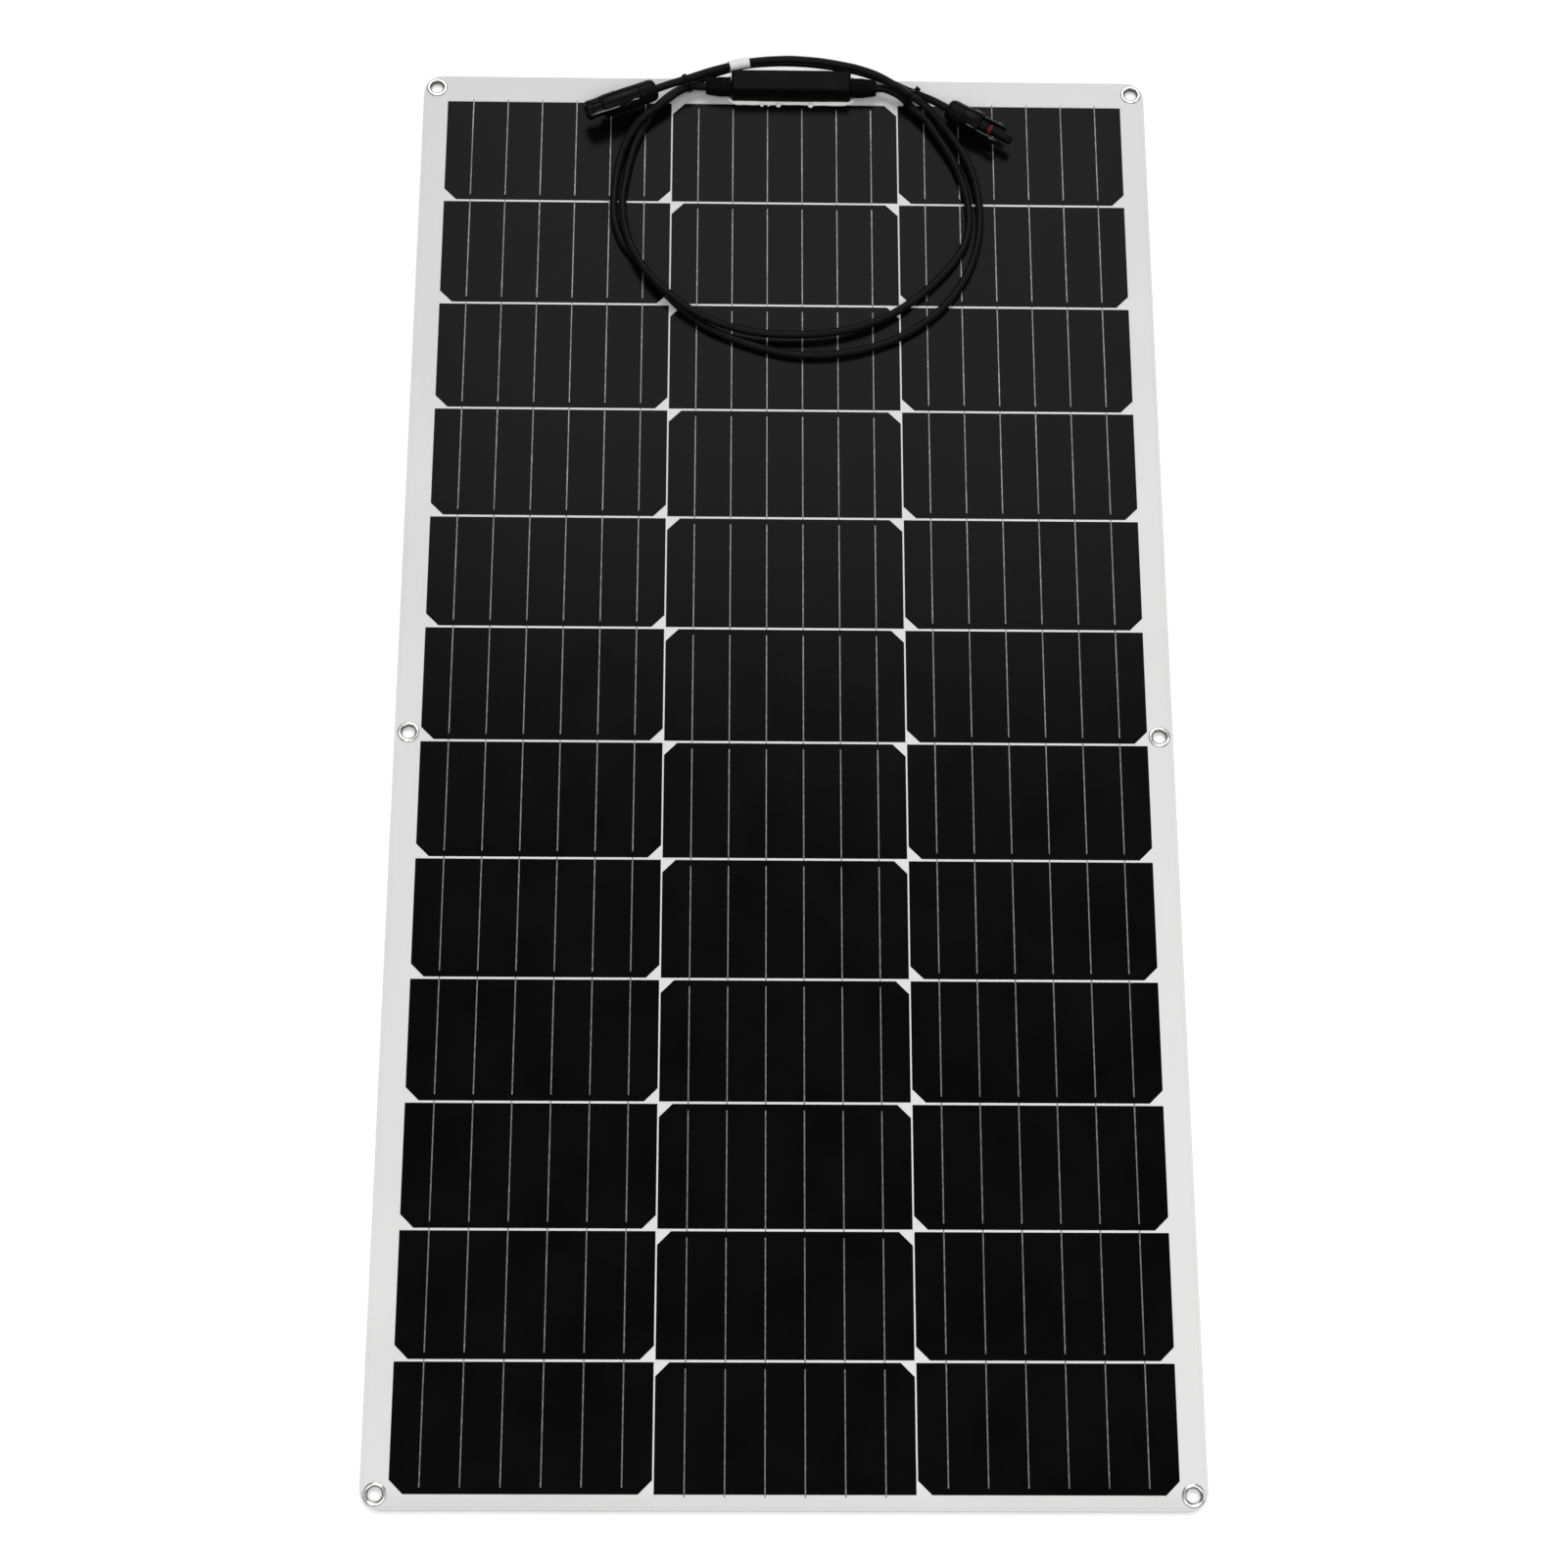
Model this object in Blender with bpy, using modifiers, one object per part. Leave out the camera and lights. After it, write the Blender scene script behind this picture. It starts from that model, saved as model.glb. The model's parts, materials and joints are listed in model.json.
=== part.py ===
"""A flexible solar sheet: a thin laminate of half-cut cells with eyelets, a junction box on its far margin,
and two cables that are wound into one ring and end in a socket and a plug.

Metres. +X is to the right, +Y runs to the junction box end, and +Z is up. The origin is below the middle of the
sheet, at the level of the eyelets' rear flanges.
"""
import math

import bmesh
import bpy
from mathutils import Matrix, Vector

# Cells and the ribbons that join them
cell_width = 0.15675
cell_height = 0.078375
cell_chamfer = 0.0084
cell_thickness = 0.0002
column_names = ("left", "middle", "right")
column_gap = 0.001
row_gap = 0.0015
ribbon_count = 6
ribbon_pitch = 0.0241
ribbon_width = 0.0009
ribbon_thickness = 0.0002
ribbon_setback = 0.004

# Laminate: margins round the cells, layers, and the strips between the flex lines with their rows of cells
side_margin = 0.0168
far_margin = 0.0205
near_margin = 0.0095
corner_radius = 0.013
backsheet_thickness = 0.0012
encapsulant_bed = 0.0004
film_thickness = 0.0003
layer_gap = 0.00005
pocket_clearance = 0.0001
row_counts = {"far": 3, "far_mid": 2, "middle": 2, "near_mid": 2, "near": 3}
flex_gap = 0.0003

# Eyelets
eyelet_hole = 0.009
eyelet_flange = 0.014
eyelet_wall = 0.0005
eyelet_rise = 0.0006
eyelet_roll = 0.00025
eyelet_side_inset = 0.0088
eyelet_end_inset = 0.0095

# Fits: pieces that touch, and pieces that pass through one another
seat_gap = 0.0003
bore_clearance = 0.0003

# Junction box
box_length = 0.0836
box_depth = 0.0171
base_height = 0.0115
lid_height = 0.0032
box_wall = 0.0015
box_corner = 0.0024
lid_round = 0.0018
box_offset = 0.0043
box_far_inset = 0.0015
bed_thickness = 0.0005
bead_width = 0.0026
bead_height = 0.0015

# Lead ribbons and the bypass diode between them
lead_width = 0.005
lead_thickness = 0.0003
lead_reach = 0.085
lead_height = 0.0045
lead_inset = 0.016
diode_radius = 0.0026
diode_length = 0.0095
diode_lead_radius = 0.0006

# Glands at the box ends
gland_radius = 0.0070
gland_tip_radius = 0.0053
gland_length = 0.018
gland_collar = 0.0095
gland_shift = 0.0011
gland_spigot_wall = 0.0009
gland_spigot_reach = 0.001

# Cables
cable_diameter = 0.0054
cable_lead_in = 0.007
cable_point_spacing = 0.0115
tag_from_end = 0.063
tag_length = 0.0145
tag_wall = 0.0005

# Cable ties
tie_thickness = 0.0009
tie_width = 0.0026
tie_head = 0.0028
tie_head_lift = 0.0012
tie_tail = 0.0008
tie_clearance = 0.0006

# Connectors: lengths run from the rear of the gland nut
nut_length = 0.013
nut_radius = 0.0078
nut_flute = 0.0004
nut_flutes = 10
cable_in_nut = 0.008
contact_radius = 0.0019
socket_length = 0.052
socket_radius = 0.0078
socket_sleeve_start = 0.0405
socket_sleeve_radius = 0.0054
socket_collar = 0.0040
socket_collar_radius = 0.0059
socket_cavity_radius = 0.0045
socket_cavity_depth = 0.024
socket_contact_inset = 0.007
plug_length = 0.0503
plug_body_end = 0.0262
plug_body_radius = 0.0075
plug_barrel_radius = 0.0030
plug_contact_inset = 0.005
ring_place = 0.0340
ring_thickness = 0.0011
ring_seat = 0.0001
arm_length = 0.0170
arm_thickness = 0.0014
arm_width = 0.0055
arm_offset = 0.0063
arm_barb = 0.0012
arm_barb_length = 0.006
socket_tail = (-0.0900, 0.4752)
socket_heading = math.radians(202.4)
socket_lift = 0.0150
plug_tail = (0.1138, 0.4642)
plug_heading = math.radians(-30.5)
plug_lift = 0.0115

# Ties: a point on each tie's plane and the way the strands run through it
tie_places = {"left": ((-0.0690, 0.4830), math.radians(216.0)), "right": ((0.0900, 0.4770), math.radians(-37.0))}
tie_reach = 0.014

# Middle points of the cables' routes: x, y and the height of the cable's middle over the sheet
resting = cable_diameter / 2 + seat_gap
first_route = (
    (-0.0660, 0.4814, 0.0090),
    (-0.0750, 0.4760, 0.0101),
    (-0.0842, 0.4685, 0.0094),
    (-0.0930, 0.4614, 0.0091),
    (-0.1012, 0.4534, 0.0084),
    (-0.1080, 0.4437, 0.0067),
    (-0.1130, 0.4310, 0.0052),
    (-0.1165, 0.4160, 0.0038),
    (-0.1183, 0.4000, resting),
    (-0.1179, 0.3800, resting),
    (-0.1122, 0.3610, resting),
    (-0.1010, 0.3460, resting),
    (-0.0880, 0.3290, resting),
    (-0.0700, 0.3085, resting),
    (-0.0520, 0.2945, resting),
    (-0.0300, 0.2845, resting),
    (-0.0080, 0.2775, resting),
    (0.0120, 0.2745, resting),
    (0.0360, 0.2755, resting),
    (0.0610, 0.2815, resting),
    (0.0840, 0.2920, resting),
    (0.1050, 0.3085, resting),
    (0.1210, 0.3295, resting),
    (0.1310, 0.3530, resting),
    (0.1350, 0.3770, 0.0032),
    (0.1338, 0.4000, 0.0042),
    (0.1283, 0.4230, 0.0054),
    (0.1184, 0.4420, 0.0058),
    (0.1062, 0.4588, 0.0080),
    (0.0985, 0.4663, 0.0106),
    (0.0910, 0.4717, 0.0123),
    (0.0840, 0.4762, 0.0127),
    (0.0751, 0.4825, 0.0132),
    (0.0648, 0.4886, 0.0136),
    (0.0539, 0.4938, 0.0125),
    (0.0444, 0.4972, 0.0114),
    (0.0265, 0.5008, 0.0112),
    (0.0093, 0.5024, 0.0112),
    (-0.0010, 0.5025, 0.0112),
    (-0.0148, 0.5014, 0.0113),
    (-0.0286, 0.4991, 0.0116),
    (-0.0450, 0.4939, 0.0124),
    (-0.0546, 0.4902, 0.0132),
    (-0.0655, 0.4852, 0.0142),
)
second_route = (
    (0.0788, 0.4783, 0.0067),
    (0.0848, 0.4732, 0.0060),
    (0.0904, 0.4662, 0.0058),
    (0.0995, 0.4563, 0.0064),
    (0.1081, 0.4426, 0.0054),
    (0.1167, 0.4275, 0.0046),
    (0.1230, 0.4110, 0.0037),
    (0.1268, 0.3940, 0.0031),
    (0.1276, 0.3770, resting),
    (0.1240, 0.3610, resting),
    (0.1155, 0.3460, resting),
    (0.1035, 0.3315, resting),
    (0.0880, 0.3168, 0.0034),
    (0.0690, 0.3031, 0.0048),
    (0.0480, 0.2940, 0.0060),
    (0.0260, 0.2893, 0.0067),
    (0.0040, 0.2880, 0.0070),
    (-0.0180, 0.2891, 0.0073),
    (-0.0400, 0.2942, 0.0078),
    (-0.0610, 0.3035, 0.0085),
    (-0.0800, 0.3182, 0.0091),
    (-0.0955, 0.3357, 0.0091),
    (-0.1058, 0.3550, 0.0086),
    (-0.1110, 0.3745, 0.0066),
    (-0.1123, 0.3940, 0.0040),
    (-0.1098, 0.4140, resting),
    (-0.1066, 0.4300, resting),
    (-0.1022, 0.4437, resting),
    (-0.0966, 0.4552, resting),
    (-0.0911, 0.4662, 0.0031),
    (-0.0842, 0.4741, 0.0034),
    (-0.0760, 0.4805, 0.0041),
    (-0.0680, 0.4854, 0.0047),
    (-0.0600, 0.4892, 0.0050),
    (-0.0547, 0.4915, 0.0052),
    (-0.0450, 0.4960, 0.0054),
    (-0.0285, 0.5012, 0.0054),
    (-0.0147, 0.5031, 0.0054),
    (-0.0009, 0.5038, 0.0054),
    (0.0129, 0.5034, 0.0054),
    (0.0267, 0.5020, 0.0054),
    (0.0446, 0.4989, 0.0054),
    (0.0542, 0.4964, 0.0053),
    (0.0652, 0.4926, 0.0049),
    (0.0756, 0.4880, 0.0048),
    (0.0851, 0.4822, 0.0060),
    (0.0952, 0.4762, 0.0085),
)

# Worked out from the sizes above: plan of the sheet
column_count = len(column_names)
row_count = sum(row_counts.values())
row_pitch = cell_height + row_gap
column_pitch = cell_width + column_gap
sheet_width = column_count * column_pitch - column_gap + 2 * side_margin
sheet_length = row_count * row_pitch - row_gap + far_margin + near_margin
cells_far = sheet_length / 2 - far_margin

# Worked out: levels of the layers, from the floor up
sheet_bottom = eyelet_rise + layer_gap
backsheet_top = sheet_bottom + backsheet_thickness
encapsulant_bottom = backsheet_top + layer_gap
pocket_floor = encapsulant_bottom + encapsulant_bed
cell_bottom = pocket_floor + layer_gap
cell_top = cell_bottom + cell_thickness
ribbon_top = cell_top + ribbon_thickness
encapsulant_top = ribbon_top + layer_gap
film_bottom = encapsulant_top + layer_gap
film_top = film_bottom + film_thickness
flex_level = (sheet_bottom + film_top) / 2

# Worked out: the junction box and what sits in it
cable_radius = cable_diameter / 2
box_far = sheet_length / 2 - box_far_inset
box_near = box_far - box_depth
box_middle = (box_far + box_near) / 2
box_left = box_offset - box_length / 2
box_right = box_offset + box_length / 2
bed_bottom = film_top + layer_gap
base_bottom = bed_bottom + bed_thickness + layer_gap
base_floor = base_bottom + box_wall
base_top = base_bottom + base_height
lid_bottom = base_top + layer_gap
gland_level = film_top + seat_gap + gland_radius
gland_middle = box_middle - gland_shift
gland_bore = cable_radius + bore_clearance
gland_spigot_radius = gland_bore + gland_spigot_wall
lead_x = {"left": box_left + lead_inset, "right": box_right - lead_inset}
lead_level = encapsulant_bottom + layer_gap
lead_top = base_floor + lead_height

ARC_STEPS = 6
ROUND_STEPS = 16


def new_collection(name):
    collection = bpy.data.collections.new(name)
    bpy.context.scene.collection.children.link(collection)
    return collection


for leftover in list(bpy.data.objects):
    bpy.data.objects.remove(leftover)
parts = new_collection("flexible_solar_sheet")
cutters = new_collection("cutters")


def material(name, colour, roughness, metallic=0.0, alpha=1.0):
    made = bpy.data.materials.new(name)
    made.use_nodes = True
    shader = made.node_tree.nodes["Principled BSDF"]
    shader.inputs["Base Color"].default_value = (*colour, 1.0)
    shader.inputs["Roughness"].default_value = roughness
    shader.inputs["Metallic"].default_value = metallic
    shader.inputs["Alpha"].default_value = alpha
    return made


white_sheet = material("white_sheet", (0.80, 0.80, 0.80), 0.45)
clear_film = material("clear_film", (0.86, 0.87, 0.88), 0.25, alpha=0.12)
encapsulant_white = material("encapsulant_white", (0.78, 0.78, 0.77), 0.5)
cell_black = material("cell_black", (0.012, 0.013, 0.016), 0.3)
nickel = material("nickel", (0.70, 0.70, 0.69), 0.25, 1.0)
tinned_copper = material("tinned_copper", (0.72, 0.70, 0.66), 0.35, 1.0)
box_black = material("box_black", (0.018, 0.018, 0.019), 0.45)
cable_black = material("cable_black", (0.015, 0.015, 0.016), 0.5)
connector_black = material("connector_black", (0.014, 0.014, 0.015), 0.4)
silicone_white = material("silicone_white", (0.82, 0.82, 0.81), 0.5)
seal_red = material("seal_red", (0.55, 0.03, 0.02), 0.5)
tag_white = material("tag_white", (0.84, 0.84, 0.84), 0.55)


def link(made, collection=parts):
    collection.objects.link(made)
    return made


def empty(name, location=(0.0, 0.0, 0.0)):
    made = bpy.data.objects.new(name, None)
    made.location = location
    return link(made)


def join_to(parent, *children):
    """Parents pieces that already lie in their places."""
    bpy.context.view_layer.update()
    for child in children:
        child.parent = parent
        child.matrix_parent_inverse = parent.matrix_world.inverted()


def outline_piece(name, loops, low, high, finish):
    """A flat outline, with any holes in it, between two levels."""
    curve = bpy.data.curves.new(name, "CURVE")
    curve.dimensions = "2D"
    curve.fill_mode = "BOTH"
    curve.extrude = (high - low) / 2
    for loop in loops:
        spline = curve.splines.new("POLY")
        spline.points.add(len(loop) - 1)
        for point, (x, y) in zip(spline.points, loop):
            point.co = (x, y, 0.0, 1.0)
        spline.use_cyclic_u = True
    curve.materials.append(finish)
    made = bpy.data.objects.new(name, curve)
    made.location = (0.0, 0.0, (high + low) / 2)
    return link(made)


def as_mesh(curve_object):
    """The same piece as a mesh, so that it can be cut or joined."""
    bpy.context.view_layer.update()
    graph = bpy.context.evaluated_depsgraph_get()
    mesh = bpy.data.meshes.new_from_object(curve_object.evaluated_get(graph))
    name, place = curve_object.name, curve_object.matrix_world.copy()
    bpy.data.objects.remove(curve_object)
    made = bpy.data.objects.new(name, mesh)
    made.matrix_world = place
    welded = bmesh.new()
    welded.from_mesh(mesh)
    bmesh.ops.remove_doubles(welded, verts=welded.verts, dist=1e-6)
    welded.to_mesh(mesh)
    welded.free()
    return link(made)


def boxes_piece(name, spans, finish=None):
    """One object of boxes, each given by its low and high corner."""
    shape = bmesh.new()
    for low, high in spans:
        size = [b - a for a, b in zip(low, high)]
        middle = [(a + b) / 2 for a, b in zip(low, high)]
        bmesh.ops.create_cube(shape, size=1.0, matrix=Matrix.LocRotScale(middle, None, size))
    mesh = bpy.data.meshes.new(name)
    shape.to_mesh(mesh)
    shape.free()
    if finish:
        mesh.materials.append(finish)
    return link(bpy.data.objects.new(name, mesh))


def turned_piece(name, profile, finish, steps=ROUND_STEPS):
    """A ring turned about its own Z from a closed profile of (radius, along) points, down its outer side first."""
    mesh = bpy.data.meshes.new(name)
    count = len(profile)
    points = [(radius, 0.0, along) for radius, along in profile]
    mesh.from_pydata(points, [(i, (i + 1) % count) for i in range(count)], [])
    mesh.materials.append(finish)
    made = link(bpy.data.objects.new(name, mesh))
    screw = made.modifiers.new("turn", "SCREW")
    screw.steps = screw.render_steps = steps
    screw.use_merge_vertices = True
    screw.merge_threshold = 1e-5
    return made


def combine(target, tool, operation):
    """Joins a helper to a piece or cuts it out of it; the helper leaves the model."""
    for collection in list(tool.users_collection):
        collection.objects.unlink(tool)
    cutters.objects.link(tool)
    tool.hide_render = True
    tool.display_type = "WIRE"
    change = target.modifiers.new(operation.lower(), "BOOLEAN")
    change.operation = operation
    change.object = tool
    change.solver = "EXACT"


def tube_piece(name, points, radius, finish):
    curve = bpy.data.curves.new(name, "CURVE")
    curve.dimensions = "3D"
    curve.bevel_depth = radius
    curve.bevel_resolution = 2
    curve.use_fill_caps = True
    spline = curve.splines.new("POLY")
    spline.points.add(len(points) - 1)
    for point, place in zip(spline.points, points):
        point.co = (*place, 1.0)
    curve.materials.append(finish)
    return link(bpy.data.objects.new(name, curve))


def circle(x, y, radius, steps=ROUND_STEPS):
    turn = 2 * math.pi / steps
    return [(x + radius * math.cos(i * turn), y + radius * math.sin(i * turn)) for i in range(steps)]


def rounded_rectangle(low, high, near_round, far_round):
    """Corners of a rectangle, each an arc where its radius isn't zero, going round from the near left one."""
    corners = (
        (low[0], low[1], near_round, 180),
        (high[0], low[1], near_round, 270),
        (high[0], high[1], far_round, 0),
        (low[0], high[1], far_round, 90),
    )
    points = []
    for x, y, radius, start in corners:
        if radius == 0:
            points.append((x, y))
            continue
        centre_x = x + math.copysign(radius, -x)
        centre_y = y + (radius if y == low[1] else -radius)
        for i in range(ARC_STEPS + 1):
            angle = math.radians(start + 90 * i / ARC_STEPS)
            points.append((centre_x + radius * math.cos(angle), centre_y + radius * math.sin(angle)))
    return points


def row_far(row):
    """Far edge of a row of cells; row 0 is the one by the junction box."""
    return cells_far - row * row_pitch


def strip_spans():
    """Each strip's name, its first row, the row after its last, and its near and far edge."""
    first = 0
    for name, count in row_counts.items():
        last = first + count
        half_gap = flex_gap / 2
        far = sheet_length / 2 if first == 0 else row_far(first) + row_gap / 2 - half_gap
        near = -sheet_length / 2 if last == row_count else row_far(last) + row_gap / 2 + half_gap
        yield name, first, last, near, far
        first = last


def column_middle(column):
    return (column - (column_count - 1) / 2) * column_pitch


# Eyelets: their places, by the strip that holds them
eyelet_x = sheet_width / 2 - eyelet_side_inset
eyelet_y = sheet_length / 2 - eyelet_end_inset
eyelet_places = {
    strip: {f"{strip}_left": (-eyelet_x, y), f"{strip}_right": (eyelet_x, y)}
    for strip, y in (("far", eyelet_y), ("middle", 0.0), ("near", -eyelet_y))
}
eyelet_inner = eyelet_hole / 2
eyelet_barrel = eyelet_inner + eyelet_wall
sheet_hole_radius = eyelet_barrel + bore_clearance


def strip_loops(strip, near, far):
    """Outline of one strip, with round corners at the sheet's own ends, and its eyelet holes."""
    near_round = corner_radius if strip == "near" else 0
    far_round = corner_radius if strip == "far" else 0
    loops = [rounded_rectangle((-sheet_width / 2, near), (sheet_width / 2, far), near_round, far_round)]
    loops += [circle(x, y, sheet_hole_radius) for x, y in eyelet_places.get(strip, {}).values()]
    return loops


def cell_loop(middle, far, chamfer_far):
    """A half cell: two chamfered corners on the edge that was the round wafer's rim."""
    left, right = middle - cell_width / 2, middle + cell_width / 2
    near = far - cell_height
    if chamfer_far:
        return [(left, near), (right, near), (right, far - cell_chamfer), (right - cell_chamfer, far),
                (left + cell_chamfer, far), (left, far - cell_chamfer)]
    return [(left, far), (left, near + cell_chamfer), (left + cell_chamfer, near), (right - cell_chamfer, near),
            (right, near + cell_chamfer), (right, far)]


def cell_string(strip, column, first, last):
    """The cells of one column in one strip, soldered together by their ribbons."""
    chamfer_far = column_names[column] == "middle"
    middle = column_middle(column)
    name = f"cell_string_{column_names[column]}_{strip}"
    loops = [cell_loop(middle, row_far(row), chamfer_far) for row in range(first, last)]
    string = as_mesh(outline_piece(name, loops, cell_bottom, cell_top, cell_black))
    far = row_far(first) - (ribbon_setback if chamfer_far else 0)
    near = row_far(last) + row_gap + (0 if chamfer_far else ribbon_setback)
    spans = []
    for i in range(ribbon_count):
        x = middle + (i - (ribbon_count - 1) / 2) * ribbon_pitch
        low = (x - ribbon_width / 2, near, cell_bottom + cell_thickness / 2)
        spans.append((low, (x + ribbon_width / 2, far, ribbon_top)))
    combine(string, boxes_piece(f"{name}_ribbons", spans), "UNION")
    return string


def lead_slots(low, high):
    """Holes that let the two lead ribbons pass a layer."""
    spans = []
    for x in lead_x.values():
        half_x = lead_thickness / 2 + bore_clearance
        half_y = lead_width / 2 + bore_clearance
        spans.append(((x - half_x, box_middle - half_y, low), (x + half_x, box_middle + half_y, high)))
    return boxes_piece("lead_slots", spans)


def lead_end(side):
    """How far along X a lead ribbon reaches from the box into the laminate."""
    return lead_x[side] + (-lead_reach if side == "left" else lead_reach)


def laminate_strip(strip, first, last, near, far, frame):
    loops = strip_loops(strip, near, far)
    backsheet = outline_piece(f"backsheet_{strip}", loops, sheet_bottom, backsheet_top, white_sheet)
    encapsulant = as_mesh(
        outline_piece(f"encapsulant_{strip}", loops, encapsulant_bottom, encapsulant_top, encapsulant_white)
    )
    film = as_mesh(outline_piece(f"front_film_{strip}", loops, film_bottom, film_top, clear_film))
    half_width = cell_width / 2 + pocket_clearance
    pocket_far = row_far(first) + pocket_clearance
    pocket_near = row_far(last) + row_gap - pocket_clearance
    pockets = []
    for column in range(column_count):
        middle = column_middle(column)
        low = (middle - half_width, pocket_near, pocket_floor)
        pockets.append((low, (middle + half_width, pocket_far, encapsulant_top + layer_gap)))
    combine(encapsulant, boxes_piece(f"pockets_{strip}", pockets), "DIFFERENCE")
    if strip == "far":
        channels = []
        half_y = lead_width / 2 + bore_clearance
        for side, x in lead_x.items():
            ends = sorted((x, lead_end(side)))
            low = (ends[0] - bore_clearance, box_middle - half_y, encapsulant_bottom - layer_gap)
            channels.append((low, (ends[1] + bore_clearance, box_middle + half_y,
                                   lead_level + lead_thickness + layer_gap)))
        combine(encapsulant, boxes_piece("lead_channels", channels), "DIFFERENCE")
        combine(encapsulant, lead_slots(encapsulant_bottom - layer_gap, encapsulant_top + layer_gap), "DIFFERENCE")
        combine(film, lead_slots(film_bottom - layer_gap, film_top + layer_gap), "DIFFERENCE")
    strings = [cell_string(strip, column, first, last) for column in range(column_count)]
    join_to(frame, backsheet, encapsulant, film, *strings)


def eyelet(name, x, y):
    """A barrel through the sheet with a flange rolled over at each face."""
    flange = eyelet_flange / 2
    seat = film_top + layer_gap
    top = seat + eyelet_rise
    profile = (
        (flange - 2 * eyelet_roll, top), (flange, top - eyelet_roll), (flange - eyelet_roll, seat),
        (eyelet_barrel, seat), (eyelet_barrel, eyelet_rise), (flange - eyelet_roll, eyelet_rise),
        (flange, eyelet_roll), (flange - eyelet_roll, 0.0), (eyelet_inner + eyelet_roll, 0.0),
        (eyelet_inner, eyelet_roll), (eyelet_inner, top - eyelet_roll), (eyelet_inner + 2 * eyelet_roll, top),
    )
    made = turned_piece(f"eyelet_{name}", profile, nickel)
    made.location = (x, y, 0.0)
    return made


def box_shell(name, low, high, finish, top_round):
    """A box with rounded upright edges and, where asked for, a rounded top."""
    shape = boxes_piece(name, [(low, high)], finish)
    mesh = shape.data
    edit = bmesh.new()
    edit.from_mesh(mesh)
    upright = [e for e in edit.edges if abs(e.verts[0].co.z - e.verts[1].co.z) > (high[2] - low[2]) / 2]
    bmesh.ops.bevel(edit, geom=upright, offset=box_corner, segments=3, affect="EDGES", profile=0.5)
    if top_round:
        rim = [e for e in edit.edges if all(v.co.z > high[2] - layer_gap for v in e.verts)]
        bmesh.ops.bevel(edit, geom=rim, offset=min(top_round, 0.8 * box_corner), segments=3, affect="EDGES",
                        profile=0.5)
    edit.to_mesh(mesh)
    edit.free()
    return shape


def junction_box():
    base = box_shell("junction_box_base", (box_left, box_near, base_bottom), (box_right, box_far, base_top),
                     box_black, 0)
    inner_low = (box_left + box_wall, box_near + box_wall, base_floor)
    inner_high = (box_right - box_wall, box_far - box_wall, base_top + box_wall)
    combine(base, boxes_piece("base_hollow", [(inner_low, inner_high)]), "DIFFERENCE")
    for side, x in (("left", box_left), ("right", box_right)):
        hole = turned_piece(f"gland_hole_{side}", (
            (gland_spigot_radius + bore_clearance, 2 * box_wall),
            (gland_spigot_radius + bore_clearance, -2 * box_wall), (0.0, -2 * box_wall), (0.0, 2 * box_wall),
        ), box_black)
        hole.location = (x, gland_middle, gland_level)
        hole.rotation_euler = (0.0, math.radians(90), 0.0)
        combine(base, hole, "DIFFERENCE")
    combine(base, lead_slots(base_bottom - layer_gap, base_floor + layer_gap), "DIFFERENCE")

    lid = box_shell("junction_box_lid", (box_left, box_near, lid_bottom),
                    (box_right, box_far, lid_bottom + lid_height), box_black, lid_round)
    lid_hollow = boxes_piece("lid_hollow", [(
        (box_left + 2 * box_wall, box_near + 2 * box_wall, lid_bottom - layer_gap),
        (box_right - 2 * box_wall, box_far - 2 * box_wall, lid_bottom + lid_height - box_wall),
    )])
    combine(lid, lid_hollow, "DIFFERENCE")
    return base, lid


def sealant():
    """The bed under the box and the bead that it squeezes out along the front."""
    front = box_near - seat_gap
    profile = [(box_far - box_corner, bed_bottom), (box_far - box_corner, bed_bottom + bed_thickness),
               (front, bed_bottom + bed_thickness)]
    for i in range(ARC_STEPS + 1):
        angle = math.radians(90 + 90 * i / ARC_STEPS)
        profile.append((front + bead_width * math.cos(angle),
                        bed_bottom + bead_height * math.sin(angle)))
    bed = outline_piece("box_sealant", [profile], -box_length / 2, box_length / 2, silicone_white)
    bed.rotation_euler = (math.radians(90), 0.0, math.radians(90))
    bed.location = (box_offset, 0.0, 0.0)
    bed = as_mesh(bed)
    combine(bed, lead_slots(bed_bottom - layer_gap, bed_bottom + bed_thickness + layer_gap), "DIFFERENCE")
    return bed


def lead_ribbon(side):
    """A flat lead that runs in the laminate's far margin and turns up through the box floor."""
    x, end = lead_x[side], lead_end(side)
    out = math.copysign(lead_thickness / 2, end - x)
    profile = [(x - out, lead_level), (end, lead_level), (end, lead_level + lead_thickness),
               (x + out, lead_level + lead_thickness), (x + out, lead_top), (x - out, lead_top)]
    lead = outline_piece(f"lead_ribbon_{side}", [profile], -lead_width / 2, lead_width / 2, tinned_copper)
    lead.rotation_euler = (math.radians(90), 0.0, 0.0)
    lead.location = (0.0, box_middle, 0.0)
    return lead


def bypass_diode():
    """A round diode whose two leads reach from one lead ribbon to the other."""
    half_span = (lead_x["right"] - lead_x["left"] - lead_thickness) / 2 - seat_gap
    half_body = diode_length / 2
    profile = (
        (0.0, half_span), (diode_lead_radius, half_span), (diode_lead_radius, half_body),
        (diode_radius, half_body), (diode_radius, -half_body), (diode_lead_radius, -half_body),
        (diode_lead_radius, -half_span), (0.0, -half_span),
    )
    diode = turned_piece("bypass_diode", profile, box_black, 12)
    diode.location = (box_offset, box_middle, base_floor + diode_radius + seat_gap)
    diode.rotation_euler = (0.0, math.radians(90), 0.0)
    return diode


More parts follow.
